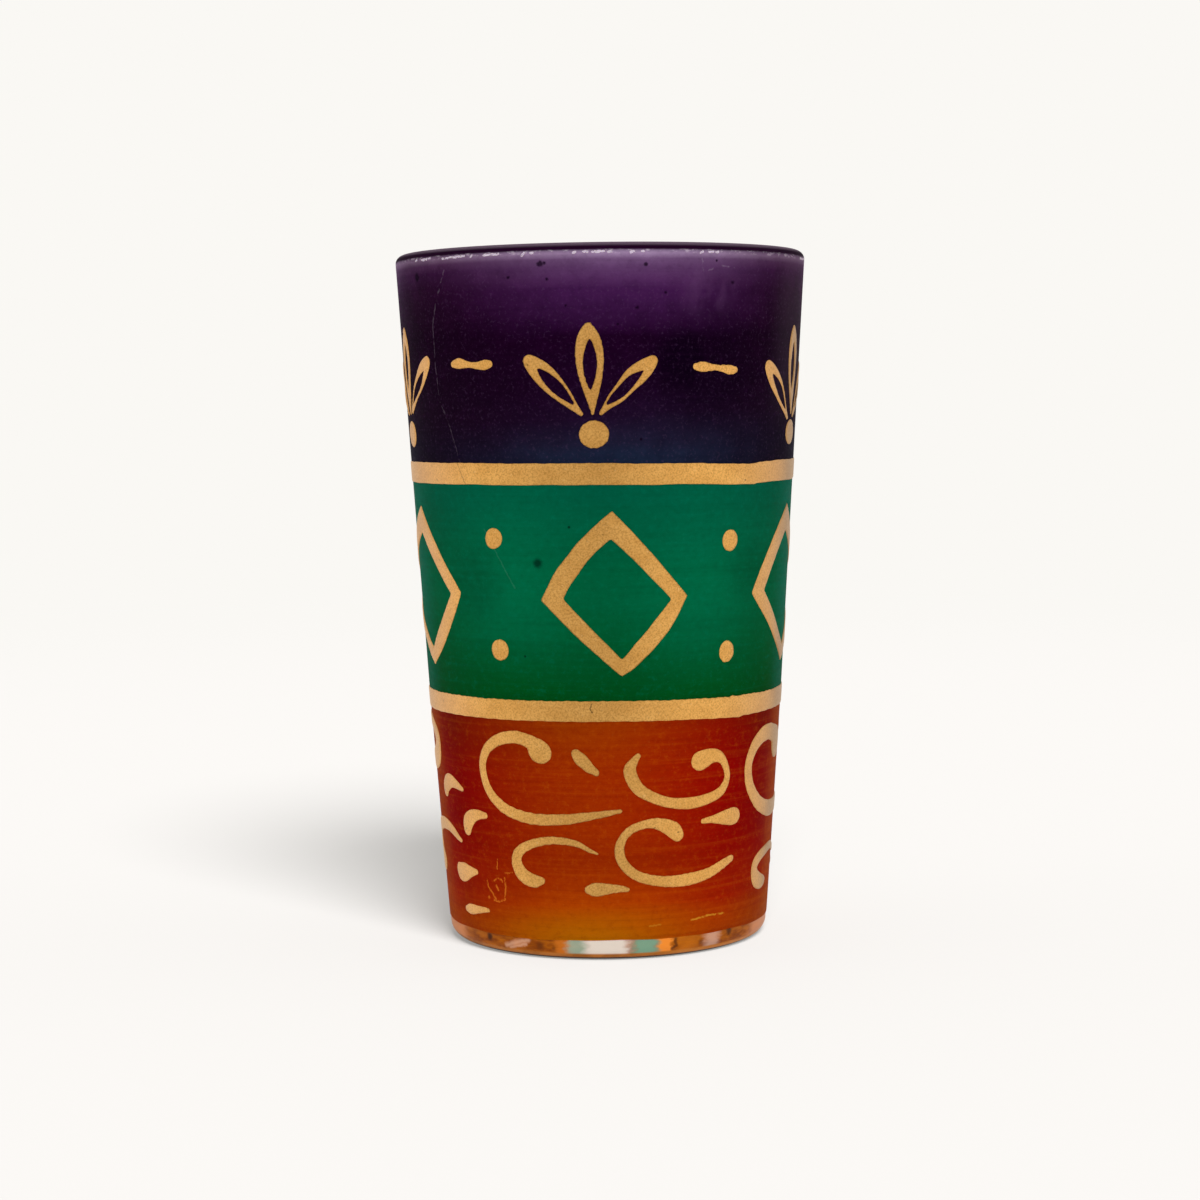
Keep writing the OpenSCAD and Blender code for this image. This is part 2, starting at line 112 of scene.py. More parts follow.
def add_piece(name, shape, material, slot, *nodes):
    """A mesh in millimetres that rides on the glass and stands for CAD nodes."""
    verts, faces = shape
    mesh = bpy.data.meshes.new(name)
    mesh.from_pydata([tuple(v) for v in np.asarray(verts) * MM], [], [tuple(f) for f in faces])
    mesh.validate()
    mesh.update()
    for polygon in mesh.polygons:
        polygon.use_smooth = True
    if isinstance(material, tuple):
        for part in material:
            mesh.materials.append(part)
        for polygon in mesh.polygons:
            out = polygon.normal[0] * polygon.center[0] + polygon.normal[1] * polygon.center[1]
            polygon.material_index = int(out < 0 and abs(polygon.normal[2]) < 0.9)
    else:
        mesh.materials.append(material)
    piece = bpy.data.objects.new(name, mesh)
    bpy.context.scene.collection.objects.link(piece)
    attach(piece, "root")
    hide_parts(*nodes)
    return piece


def arc(cx, cz, r, start, end, steps):
    """Points on an arc in the section, angles in degrees from +X towards +Z."""
    turns = np.radians(np.linspace(start, end, steps + 1))
    return [(cx + r * math.cos(a), cz + r * math.sin(a)) for a in turns]


def line(a, b, steps):
    """Points from a up to, and without, b."""
    return [(a[0] + (b[0] - a[0]) * t, a[1] + (b[1] - a[1]) * t) for t in np.arange(steps) / steps]


def lathe_closed(profile, segments, bend=None):
    """A ring swept from a closed section; bend may move (r, z) by the angle."""
    section = np.array(profile, float)
    n = len(section)
    verts = []
    for k in range(segments):
        turn = 2 * math.pi * k / segments
        rz = section if bend is None else bend(section, math.degrees(turn))
        verts.append(np.stack([rz[:, 0] * math.sin(turn), -rz[:, 0] * math.cos(turn), rz[:, 1]], 1))
    faces = []
    for k in range(segments):
        a, b = k * n, (k + 1) % segments * n
        for i in range(n):
            j = (i + 1) % n
            faces.append((a + i, b + i, b + j, a + j))
    return np.concatenate(verts), faces


def lathe_solid(profile, segments):
    """A solid swept from a section that starts and ends on the axis."""
    section = np.array(profile[1:-1], float)
    n = len(section)
    turns = 2 * np.pi * np.arange(segments) / segments
    verts = [np.stack([r * np.sin(turns), -r * np.cos(turns), np.full(segments, z)], 1) for r, z in section]
    verts = np.concatenate(verts)
    first, last = len(verts), len(verts) + 1
    verts = np.concatenate([verts, [[0, 0, profile[0][1]], [0, 0, profile[-1][1]]]])
    faces = []
    for i in range(n - 1):
        for k in range(segments):
            j = (k + 1) % segments
            low, high = i * segments, (i + 1) * segments
            faces.append((low + k, low + j, high + j, high + k))
    for k in range(segments):
        j = (k + 1) % segments
        faces.append((first, j, k))
        faces.append((last, (n - 1) * segments + k, (n - 1) * segments + j))
    return verts, faces


# Flat fields: negative inside a painted shape, in millimetres round the glass and up

def spline(points, steps=9):
    """Smooth curve through a list of (x, z, width)."""
    p = np.array(points, float)
    p = np.concatenate([[2 * p[0] - p[1]], p, [2 * p[-1] - p[-2]]])
    out = []
    for i in range(1, len(p) - 2):
        a, b, c, d = p[i - 1:i + 3]
        for t in np.arange(steps) / steps:
            out.append((2 * b + (c - a) * t + (2 * a - 5 * b + 4 * c - d) * t ** 2
                        + (3 * b - a - 3 * c + d) * t ** 3) / 2)
    out.append(p[-2])
    return np.array(out)


def brush(points):
    """A brush stroke: all points within half the width of the smooth curve."""
    q = spline(points)

    def field(p):
        a, b = q[:-1], q[1:]
        ab = b[:, :2] - a[:, :2]
        t = ((p[:, None] - a[None, :, :2]) * ab).sum(2) / np.maximum((ab ** 2).sum(1), 1e-9)
        t = np.clip(t, 0, 1)
        near = a[None, :, :2] + t[..., None] * ab
        half = (a[:, 2] + t * (b[:, 2] - a[:, 2])) / 2
        return (np.linalg.norm(p[:, None] - near, axis=2) - half).min(1)

    pad = q[:, 2].max()
    return field, (q[:, 0].min() - pad, q[:, 0].max() + pad, q[:, 1].min() - pad, q[:, 1].max() + pad)


def polygon_field(corners):
    """Signed distance to a closed outline."""
    c = np.array(corners, float)
    a, b = c, np.roll(c, -1, 0)

    def field(p):
        ab = b - a
        t = np.clip(((p[:, None] - a) * ab).sum(2) / np.maximum((ab ** 2).sum(1), 1e-12), 0, 1)
        d = np.linalg.norm(p[:, None] - (a + t[..., None] * ab), axis=2).min(1)
        over = (a[:, 1] > p[:, 1, None]) != (b[:, 1] > p[:, 1, None])
        rise = np.where(np.abs(ab[:, 1]) < 1e-12, 1e-12, ab[:, 1])
        cross = a[:, 0] + (p[:, 1, None] - a[:, 1]) * ab[:, 0] / rise
        inside = (over & (p[:, 0, None] < cross)).sum(1) % 2 == 1
        return np.where(inside, -d, d)

    return field, (c[:, 0].min(), c[:, 0].max(), c[:, 1].min(), c[:, 1].max())


def cut_by(outer, inner):
    """The outer shape with the inner one open."""
    f, box = outer
    g = inner[0]
    return (lambda p: np.maximum(f(p), -g(p))), box


def rounded(shape, r):
    """The shape grown by a radius, which rounds its corners."""
    f, box = shape
    return (lambda p: f(p) - r), (box[0] - r, box[1] + r, box[2] - r, box[3] + r)


def leaf(foot, tip, width, belly=0.6, fill=0.8, bend=0.0, steps=26):
    """Outline of a leaf from its foot to its tip; bend curves its spine sideways."""
    foot, tip = np.array(foot, float), np.array(tip, float)
    along = tip - foot
    side = np.array([along[1], -along[0]]) / np.linalg.norm(along)
    power = math.log(0.5) / math.log(belly)
    t = (1 - np.cos(np.pi * np.arange(steps + 1) / steps)) / 2
    half = width / 2 * np.sin(np.pi * t ** power).clip(0) ** fill
    spine = foot + t[:, None] * along + (4 * bend * t * (1 - t))[:, None] * side
    right = spine + half[:, None] * side
    left = spine - half[:, None] * side
    return np.concatenate([right, left[-2:0:-1]])


def bowed(corners, bows, steps=9):
    """Outline through corners, clockwise, whose sides bow outward."""
    out = []
    c = np.array(corners, float)
    for i, bow in enumerate(bows):
        a, b = c[i], c[(i + 1) % len(c)]
        side = b - a
        normal = np.array([-side[1], side[0]]) / np.linalg.norm(side)
        for t in np.arange(steps) / steps:
            out.append(a + side * t + normal * 4 * t * (1 - t) * bow)
    return out


def waver(seed, size, wave):
    """A smooth seeded wobble in the flat drawing, the hand's unsteadiness."""
    rng = np.random.default_rng(seed)
    k = rng.normal(0, 2 * math.pi / wave, (7, 2))
    phase = rng.uniform(0, 2 * math.pi, 7)
    weight = rng.normal(0, size / 2.2, (7, 2))

    def shift(p):
        return np.sin(p @ k.T + phase) @ weight

    return shift


def shaky(shape, seed, hand, edge):
    """The shape drawn by hand: wandering by hand, and its edge rough by edge."""
    f, box = shape
    slow = waver(seed, hand, 9.0)
    fast = waver(seed + 500, edge, 0.9)
    return (lambda p: f(p + slow(p) + fast(p))), (box[0] - 0.5, box[1] + 0.5, box[2] - 0.5, box[3] + 0.5)


def crowned(share):
    """How high paint stands, from 0 at its edge to 1 at its ridge."""
    return np.sqrt(1 - (1 - np.clip(share, 0, 1)) ** 2)


def relief(shape, place, z_ref, step, seed):
    """Closed raised paint on the lacquer: the flat field meshed, pillowed and wrapped round."""
    f, box = shape
    xs = np.arange(box[0] - 2 * step, box[1] + 2 * step, step)
    zs = np.arange(box[2] - 2 * step, box[3] + 2 * step, step)
    grid_x, grid_z = np.meshgrid(xs, zs, indexing="ij")
    p = np.stack([grid_x.ravel(), grid_z.ravel()], 1)
    value = f(p)

    # Grid points close to the outline are moved onto it, so that no thin triangles are left
    near = np.abs(value) < 0.3 * step
    slopes = [(f(p[near] + d) - f(p[near] - d)) / (2 * PROBE) for d in ([PROBE, 0], [0, PROBE])]
    g = np.stack(slopes, 1)
    move = -(value[near] / np.maximum((g ** 2).sum(1), 0.2))[:, None] * g
    p[near] += np.clip(move, -0.4 * step, 0.4 * step)
    value[near] = 0

    rows, cols = len(xs), len(zs)
    i, j = np.meshgrid(np.arange(rows - 1), np.arange(cols - 1), indexing="ij")
    a = (i * cols + j).ravel()
    b, c, d = a + cols, a + cols + 1, a + 1
    even = ((i + j) % 2 == 0).ravel()
    first = np.where(even[:, None], np.stack([a, b, c], 1), np.stack([a, b, d], 1))
    second = np.where(even[:, None], np.stack([a, c, d], 1), np.stack([b, c, d], 1))
    triangles = np.concatenate([first, second])
    at = value[triangles]
    whole = (at <= 0).all(1)
    flat = whole & (at == 0).all(1)
    whole[flat] = f(p[triangles[flat]].mean(1)) < 0
    kept = [tuple(t) for t in triangles[whole]]
    crossing = triangles[(at.max(1) > 0) & (at.min(1) < 0)]
    cuts, extra = {}, []
    for tri in crossing:
        ring = []
        for n in range(3):
            u, v = tri[n], tri[(n + 1) % 3]
            if value[u] <= 0:
                ring.append(u)
            if (value[u] < 0 < value[v]) or (value[v] < 0 < value[u]):
                key = (min(u, v), max(u, v))
                if key not in cuts:
                    t = value[key[0]] / (value[key[0]] - value[key[1]])
                    cuts[key] = len(p) + len(extra)
                    extra.append(p[key[0]] + t * (p[key[1]] - p[key[0]]))
                ring.append(cuts[key])
        for n in range(1, len(ring) - 1):
            kept.append((ring[0], ring[n], ring[n + 1]))
    if extra:
        p = np.concatenate([p, extra])
    used = np.unique(np.array(kept))
    renumber = np.full(len(p), -1)
    renumber[used] = np.arange(len(used))
    p = p[used]
    kept = renumber[np.array(kept)]

    # Two rounds of evening out the inside points
    edges = np.concatenate([kept[:, [0, 1]], kept[:, [1, 2]], kept[:, [2, 0]]])
    codes = edges[:, 0].astype(np.int64) * len(p) + edges[:, 1]
    back = edges[:, 1].astype(np.int64) * len(p) + edges[:, 0]
    rim = edges[~np.isin(codes, back)]
    on_rim = np.zeros(len(p), bool)
    on_rim[rim.ravel()] = True
    for _ in range(2):
        total, count = np.zeros_like(p), np.zeros(len(p))
        for a, b in (edges.T, edges.T[::-1]):
            np.add.at(total, a, p[b])
            np.add.at(count, a, 1)
        mean = total / np.maximum(count, 1)[:, None]
        p = np.where(on_rim[:, None], p, 0.5 * p + 0.5 * mean)

    swell = waver(seed + 900, 0.012, 2.6)(p)[:, 0]
    crown = np.where(on_rim, 0, crowned(-f(p) / STROKE_RIDGE))
    lift = np.minimum(EDGE_LIFT + (RISE + swell * 0.6) * crown, GOLD + 0.004)
    turn = math.radians(place) + p[:, 0] / float(coated_at(z_ref))

    def wrap(h):
        r = coated_at(p[:, 1]) + h
        return np.stack([r * np.sin(turn), -r * np.cos(turn), p[:, 1]], 1)

    count = len(p)
    verts = np.concatenate([wrap(lift), wrap(np.full(count, -SUNK))])
    faces = [tuple(t) for t in kept]
    faces += [(t[0] + count, t[2] + count, t[1] + count) for t in kept]
    faces += [(u, u + count, v + count, v) for u, v in rim]
    return verts, faces


def joined(parts):
    """Several meshes as one list of points and faces."""
    verts, faces, start = [], [], 0
    for v, f in parts:
        verts.append(v)
        faces += [tuple(int(n) + start for n in face) for face in f]
        start += len(v)
    return np.concatenate(verts), faces


# Node helpers

# Millimetres round the glass for a degree, as the marks on the coats count them
FLAT_PER_DEG = 0.42
# How far the marks' edges wander, in millimetres, and the size of that wandering
MARK_STRAY = 0.4
MARK_CELL = 0.45


class Nodes:
    """Short names for shader nodes in one tree."""

    def __init__(self, tree):
        self.tree = tree
        tree.nodes.clear()

    def link(self, value, socket):
        if isinstance(value, bpy.types.NodeSocket):
            self.tree.links.new(value, socket)
        elif isinstance(value, tuple) and len(value) == 3 and len(socket.default_value) == 4:
            socket.default_value = (*value, 1)
        else:
            socket.default_value = value

    def add(self, kind, inputs=(), out=0, **settings):
        """A new node's output, or all its outputs; inputs pairs its sockets with values or other outputs."""
        node = self.tree.nodes.new("ShaderNode" + kind)
        for name, value in settings.items():
            setattr(node, name, value)
        for key, value in dict(inputs).items():
            if value is not None:
                self.link(value, node.inputs[key])
        return node.outputs if out is None else node.outputs[out]

    def math(self, kind, a, b=0.0, c=0.0, clamp=False):
        return self.add("Math", enumerate((a, b, c)), operation=kind, use_clamp=clamp)

    def times(self, a, b):
        return self.math("MULTIPLY", a, b)

    def either(self, *marks):
        out = marks[0]
        for mark in marks[1:]:
            out = self.math("MAXIMUM", out, mark)
        return out

    def vector(self, kind, a, b=(0, 0, 0), scale=None):
        out = "Value" if kind in ("DISTANCE", "DOT_PRODUCT", "LENGTH") else 0
        return self.add("VectorMath", {0: a, 1: b, "Scale": scale}, out, operation=kind)

    def split(self, vector):
        return self.add("SeparateXYZ", {0: vector}, out=None)

    def join(self, *parts):
        return self.add("CombineXYZ", enumerate(parts))

    def remap(self, value, low, high, start, end, kind="LINEAR"):
        """A number that goes from start to end as the value goes from low to high."""
        ends = {"Value": value, "From Min": low, "From Max": high, "To Min": start, "To Max": end}
        return self.add("MapRange", ends, "Result", interpolation_type=kind)

    def step(self, value, low, high):
        """0 below low, 1 above high, smooth between; falls where low is above high."""
        start, end = (1.0, 0.0) if low > high else (0.0, 1.0)
        return self.remap(value, min(low, high), max(low, high), start, end, "SMOOTHSTEP")

    def within(self, value, rise, full, fall, none):
        """0, then 1 from full to fall, then 0 again."""
        return self.times(self.step(value, rise, full), self.step(value, none, fall))

    def ramp(self, value, stops):
        """Colours or grey levels at values from 0 to 1."""
        node = self.tree.nodes.new("ShaderNodeValToRGB")
        elements = node.color_ramp.elements
        while len(elements) < len(stops):
            elements.new(0.5)
        for element, (at, colour) in zip(elements, stops):
            element.position = at
            element.color = (*(colour if isinstance(colour, tuple) else (colour,) * 3), 1)
        self.link(value, node.inputs[0])
        return node.outputs[0]

    def graded(self, value, stops):
        """Colours or grey levels at any values, level before the first stop and past the last."""
        low, high = stops[0][0], stops[-1][0]
        share = self.math("DIVIDE", self.math("SUBTRACT", value, low), high - low, clamp=True)
        return self.ramp(share, [((at - low) / (high - low), colour) for at, colour in stops])

    def mix(self, share, a, b, kind="MIX"):
        return self.add("Mix", {"Factor": share, 6: a, 7: b}, 2, data_type="RGBA", blend_type=kind)


class Graph(Nodes):
    """The nodes of one material: its colour so far, and the height and the angle on the glass."""

    def __init__(self, name):
        self.material = bpy.data.materials.new(name)
        self.material.use_nodes = True
        super().__init__(self.material.node_tree)
        self.base = None
        self.place = self.add("TexCoord", out="Object")
        x, y, z = self.split(self.place)
        self.z = self.times(z, 1 / MM)
        self.deg = self.times(self.math("ARCTAN2", x, self.times(y, -1)), 180 / math.pi)
        stray, rise = [self.drift(MARK_STRAY, MARK_CELL, MARK_CELL, 2, 0.6, seed=seed) for seed in (91, 92)]
        self.flat = self.join(self.math("MULTIPLY_ADD", self.deg, FLAT_PER_DEG, stray),
                              self.math("ADD", self.z, rise), 0)

    def lay(self, share, colour, level=None):
        """Lays a colour on the base where share is 1, at a level."""
        share = share if level is None else self.times(share, level)
        self.base = self.mix(share, self.base, colour)

    def scaled(self, across, up):
        """The place counted in cells that are across mm wide and up mm high."""
        return self.vector("MULTIPLY", self.place, (1 / (MM * across), 1 / (MM * across), 1 / (MM * up)))

    def noise(self, across, up, detail=2.0, rough=0.5, seed=0.0):
        inputs = {"Vector": self.scaled(across, up), "Scale": 1.0, "Detail": detail, "Roughness": rough}
        return self.add("TexNoise", {**inputs, "W": seed}, "Fac", noise_dimensions="4D")

    def drift(self, amount, *size, seed):
        """Noise round 0 that spans the amount."""
        return self.times(self.math("SUBTRACT", self.noise(*size, seed=seed), 0.5), amount)

    def specks(self, size, shift, radius, soft, few):
        """Small specks at the few scattered points whose own number is high enough."""
        place = self.vector("ADD", self.scaled(size, size), (shift, shift, 0))
        found = self.add("TexVoronoi", {"Vector": place, "Scale": 1.0}, out=None)
        pick = self.split(found["Color"])[0]
        return self.times(self.step(found["Distance"], soft, radius), self.step(pick, few, few + 0.04))

    def spot(self, deg, z, r, soft):
        """1 in a spot at an angle and a height, falling to 0 past its edge."""
        d = self.vector("DISTANCE", self.flat, (deg * FLAT_PER_DEG, z, 0))
        return self.step(d, r + soft, r)

    def hair(self, points, width, soft):
        """1 on a thin line through (angle, height) points."""
        best = None
        for (d0, z0), (d1, z1) in zip(points, points[1:]):
            a = Vector((d0 * FLAT_PER_DEG, z0, 0))
            ab = Vector((d1 * FLAT_PER_DEG, z1, 0)) - a
            t = self.vector("DOT_PRODUCT", self.vector("SUBTRACT", self.flat, tuple(a)), tuple(ab))
            t = self.math("MULTIPLY", t, 1 / ab.length_squared, clamp=True)
            foot = self.vector("ADD", self.vector("SCALE", tuple(ab), scale=t), tuple(a))
            d = self.vector("DISTANCE", self.flat, foot)
            best = d if best is None else self.math("MINIMUM", best, d)
        return self.step(best, width + soft, width)

    def flanks(self, low, high):
        """1 on both sides of the glass, falling to 0 at the front and at the back."""
        return self.within(self.math("ABSOLUTE", self.deg), low, high, 95, 120)

    def bump(self, height, depth, strength=1.0):
        return self.add("Bump", {"Strength": strength, "Distance": depth * MM, "Height": height})

    def principled(self, **sockets):
        return self.add("BsdfPrincipled", {name.replace("_", " "): value for name, value in sockets.items()})

    def blend(self, share, a, b):
        return self.add("MixShader", enumerate((share, a, b)))

    def surface(self, shader):
        self.add("OutputMaterial", {"Surface": shader}, out=None)
        return self.material


# Materials. The lacquers' colours by height, in painted light at the front and in painted shade at the sides.
# The purple grows lighter towards the rim in a painted glow, and its stops from 88.7 up hold a painted
# highlight.
PURPLE_PAINTED_LIGHT = [
    (62, (0.0085, 0.019, 0.046)), (64.2, (0.0125, 0.019, 0.049)), (65.4, (0.0142, 0.0142, 0.04)),
    (69, (0.0139, 0.0041, 0.0225)), (73, (0.0124, 0.0012, 0.016)), (78.5, (0.0132, 0.0003, 0.0156)),
    (80, (0.026, 0.0034, 0.034)), (82, (0.042, 0.0072, 0.056)), (84.5, (0.06, 0.012, 0.08)),
    (85.6, (0.096, 0.029, 0.12)), (87, (0.125, 0.051, 0.153)), (88, (0.176, 0.089, 0.21)),
    (88.7, (0.37, 0.25, 0.43)), (89, (0.28, 0.19, 0.33))
]
PURPLE_PAINTED_SHADE = [
    (62, (0.008, 0.004, 0.013)), (65.2, (0.0088, 0.0035, 0.0145)), (69, (0.0103, 0.0018, 0.0115)),
    (79, (0.0092, 0.0, 0.0098)), (81, (0.0145, 0.0012, 0.0145)), (85, (0.0205, 0.0023, 0.0205)),
    (87, (0.035, 0.006, 0.0386)), (88, (0.068, 0.0227, 0.0705)), (88.7, (0.182, 0.108, 0.1875)),
    (89, (0.15, 0.09, 0.16))
]
GREEN_PAINTED_LIGHT = [
    (33, (0.0, 0.085, 0.009)), (35.2, (0.0, 0.1, 0.018)), (41, (0.0, 0.143, 0.0535)),
    (46, (0.0, 0.164, 0.069)), (50, (0.0, 0.16, 0.069)), (61, (0.0, 0.126, 0.068))
]
GREEN_PAINTED_SHADE = [
    (33, (0.0, 0.078, 0.009)), (35.2, (0.0, 0.088, 0.0165)), (41, (0.0, 0.114, 0.034)),
    (46, (0.0, 0.13, 0.05)), (50, (0.0, 0.126, 0.0505)), (61, (0.0, 0.112, 0.062))
]
AMBER_PAINTED_LIGHT = [
    (2.6, (0.6, 0.165, 0.0005)), (4.2, (0.565, 0.137, 0.0004)), (7.3, (0.55, 0.068, 0.0004)),
    (10, (0.46, 0.042, 0.0003)), (12.8, (0.4, 0.03, 0.0002)), (16.9, (0.449, 0.0345, 0.0004)),
    (23.8, (0.449, 0.0345, 0.0003)), (29.6, (0.424, 0.044, 0.0003)), (31, (0.39, 0.042, 0.0003))
]
AMBER_PAINTED_SHADE = [
    (2.6, (0.42, 0.055, 0.0004)), (4.2, (0.4, 0.045, 0.0003)), (7.3, (0.37, 0.016, 0.0003)),
    (12.8, (0.34, 0.004, 0.0)), (16.9, (0.28, 0.0003, 0.0002)), (23.8, (0.29, 0.0003, 0.0003)),
    (29.6, (0.22, 0.004, 0.0002)), (31, (0.2, 0.004, 0.0002))
]

# Specks in the purple: angle, height, radius and softness
PURPLE_SPECKS = [
    (-15.9, 87.5, 0.2, 0.3), (-14.8, 87.6, 0.1, 0.2), (12, 87.3, 0.1, 0.25), (-60.3, 86.7, 0.25, 0.5),
    (-25, 86, 0.05, 0.25), (-14.1, 85.7, 0.05, 0.25), (17.5, 83.9, 0.05, 0.25), (9.8, 82.1, 0.05, 0.3),
    (38, 85.2, 0.05, 0.3), (-9.2, 82.4, 0.03, 0.2)
]

# Scratches of the worn patch in the amber: points, width and softness
AMBER_SCRATCHES = [
    ([(-45.6, 9.6), (-45.1, 8.7), (-43, 7.85), (-41.8, 7.2)], 0.04, 0.18),
    ([(-37.2, 10.1), (-37, 8.8), (-37.6, 7.4)], 0.04, 0.18),
    ([(-42.6, 7), (-40, 6.95), (-37.5, 7.3)], 0.04, 0.16),
    ([(-42.1, 9.6), (-40.6, 9.95), (-38.7, 9.9), (-38.3, 9.6)], 0.02, 0.16),
    ([(-41.2, 9), (-40.3, 8.4)], 0.05, 0.16), ([(-39.9, 12.5), (-40.3, 11.2)], 0.01, 0.12),
    ([(-37, 10.8), (-33.9, 10.95)], 0.03, 0.12)
]

# Painted highlights on the rim, glints along its outer edge: angle at each end and how far the first end dips
RIM_GLINTS = [
    (-60.5, -59.5, 0.1), (-57, -52.5, 0.05), (-47, -38.6, 0.1), (-36.5, -35.8, 0.1), (-32.3, -27.7, 0),
    (-20.8, -20.3, 0.3), (-18.3, -17.7, 0), (-7, -6.3, 0.1), (-4.2, -3.2, 0), (-2, 0.9, 0), (2.2, 3, 0),
    (8.1, 8.9, 0.1), (11, 11.4, 0), (27.5, 28.1, 0.1), (30, 31.4, 0), (32.4, 33, 0), (74, 82, 0.05),
    (101, 104, 0), (118, 126, 0.1), (141, 142, 0), (158, 163, 0.05), (-95, -88, 0.05), (-109, -107, 0),
    (-134, -127, 0.1), (-151, -150, 0), (-171, -166, 0)
]

# Painted light of the coats and the room seen through the thick foot: angles from and to, softness, share and
# colour
FOOT_PAINTED_GLOW = [
    (-95, -62, 4, 0.75, (0.6, 0.22, 0.08)), (61, 95, 4, 0.7, (0.6, 0.24, 0.11)),
    (-19, -12.5, 1.8, 0.7, (0.56, 0.15, 0.012)), (24, 33, 3, 0.5, (0.55, 0.15, 0.006)),
    (17, 22.5, 1.2, 0.9, (0.82, 0.25, 0.03)), (35.5, 42, 2.2, 0.6, (0.62, 0.38, 0.28)),
    (-14.5, -7, 1.8, 0.85, (0.27, 0.36, 0.27)), (8.6, 17, 1.8, 0.92, (0.16, 0.32, 0.22)),
    (-8, 7, 2.6, 0.95, (0.68, 0.6, 0.52))
]

# Dark spots in the foot: angle, height, radius, softness and level
FOOT_SPOTS = [
    (-46.5, 2.05, 0.25, 0.55, 1), (47.2, 2.3, 0.2, 0.6, 0.85), (-24.5, 1.7, 0.15, 0.7, 0.5),
    (-19.4, 1.5, 0.05, 0.4, 0.5), (34, 1.6, 0.1, 0.6, 0.5)
]

# Painted shade on the gold: how much darker it is at angles round the glass
GOLD_PAINTED_SHADE = [
    (-110, 0.2), (-75, 0.2), (-62, 0.08), (-50, 0.0), (-32, 0.09), (-16, 0.23), (0, 0.28), (12, 0.15),
    (27, 0.0), (38, 0.0), (47, 0.05), (60, 0.16), (72, 0.21), (110, 0.2)
]


def glass_material():
    """Clear glass; the light of the coats and the room seen through the thick foot is painted on the foot's
    outside.
    """
    g = Graph("clear_glass_pressed")
    clear = g.principled(Base_Color=(0.93, 0.97, 0.95), Roughness=0.0, IOR=1.5, Transmission_Weight=1.0,
                         Normal=g.bump(g.noise(9, 6, 1.0, 0.4, seed=3), 0.02))
    cloud = g.noise(2.6, 0.9, 3, 0.6, seed=81)
    # Painted light of what shows through the foot: patchy amber, coloured bands and pale lines; then dark
    # spots and a fleck.
    g.base = g.mix(g.step(cloud, 0.35, 0.65), (0.2, 0.04, 0.0005), (0.37, 0.095, 0.002))
    g.lay(g.step(cloud, 0.36, 0.27), (0.12, 0.024, 0.001), 0.6)
    slanted = g.math("ADD", g.deg, g.drift(6, 1.6, 0.7, 3, 0.6, seed=82))
    for low, high, soft, level, colour in FOOT_PAINTED_GLOW:
        g.lay(g.within(slanted, low - soft, low + soft, high - soft, high + soft), colour, level)
    pale = g.either(g.hair([(-29, 2.3), (-33.5, 1.9), (-38.5, 1.3)], 0.02, 0.55),
                    g.hair([(-30, 1.75), (-34, 1.4), (-37, 1.05)], 0.01, 0.4))
    g.lay(pale, (0.7, 0.4, 0.26), 0.55)
    fleck = g.times(g.hair([(22.6, 1.2), (24, 1.6), (23.6, 2.3)], 0.05, 0.4), 0.75)
    dark = [g.times(g.spot(deg, z, r, soft), level) for deg, z, r, soft, level in FOOT_SPOTS]
    g.lay(g.either(fleck, *dark), (0.06, 0.014, 0.003))

    # The foot's rounded underside in painted amber light, and painted contact shade on the ring that it
    # stands on
    under = g.mix(g.step(cloud, 0.4, 0.6), (0.29, 0.09, 0.01), (0.4, 0.13, 0.02))
    under = g.mix(g.times(g.step(g.deg, 10, 24), 0.6), under, (0.5, 0.165, 0.02))
    g.lay(g.step(g.z, 1.05, 0.75), under)
    g.lay(g.step(g.z, 0.5, 0.25), (0.035, 0.016, 0.01))
    lit = g.principled(Base_Color=g.base, Roughness=0.4, Specular_IOR_Level=0.04)
    x, y, _ = g.split(g.place)
    radius = g.times(g.vector("LENGTH", g.join(x, y, 0)), 1 / MM)
    foot = g.times(g.step(radius, 19.4, 19.9), g.step(g.z, 2.95, 2.85))
    return g.surface(g.blend(g.times(foot, 0.96), clear, lit))


def lacquer(g, inside, lift, stain, cell, rough, wave, fine, seeds):
    """Satin lacquer that passes some of the light behind it; its inside stains the glass."""
    if inside:
        body = g.principled(Base_Color=g.base, Roughness=0.6, Specular_IOR_Level=0.0)
        return g.surface(g.blend(0.92, body, g.add("BsdfTranslucent", {"Color": stain})))
    satin = g.remap(g.noise(cell, 0.4, 2, 0.6, seed=seeds[0]), 0.2, 0.8, *rough)
    ripple = g.math("ADD", g.noise(*wave, 0.6, seed=seeds[1]), g.noise(fine, 0.5, 2, 0.5, seed=seeds[2]))
    body = g.principled(Base_Color=g.base, Roughness=satin, Specular_IOR_Level=0.01,
                        Normal=g.bump(ripple, 0.02, 0.6))
    glow = g.add("BsdfTranslucent", {"Color": g.mix(1.0, g.base, lift, "MULTIPLY")})
    return g.surface(g.blend(0.45, body, glow))


def painted_light_lobes(g, middle, count, power, wander, seed):
    """Share from 0 to 1 of the painted light against the painted shade, which comes and goes so many times
    round the glass.
    """
    wave = g.math("COSINE", g.times(g.math("SUBTRACT", g.deg, middle), math.pi * count / 180))
    wave = g.math("POWER", g.math("MULTIPLY_ADD", wave, 0.5, 0.5), power)
    return g.math("ADD", wave, g.drift(wander, 14, 11, 2, 0.5, seed=seed), clamp=True)


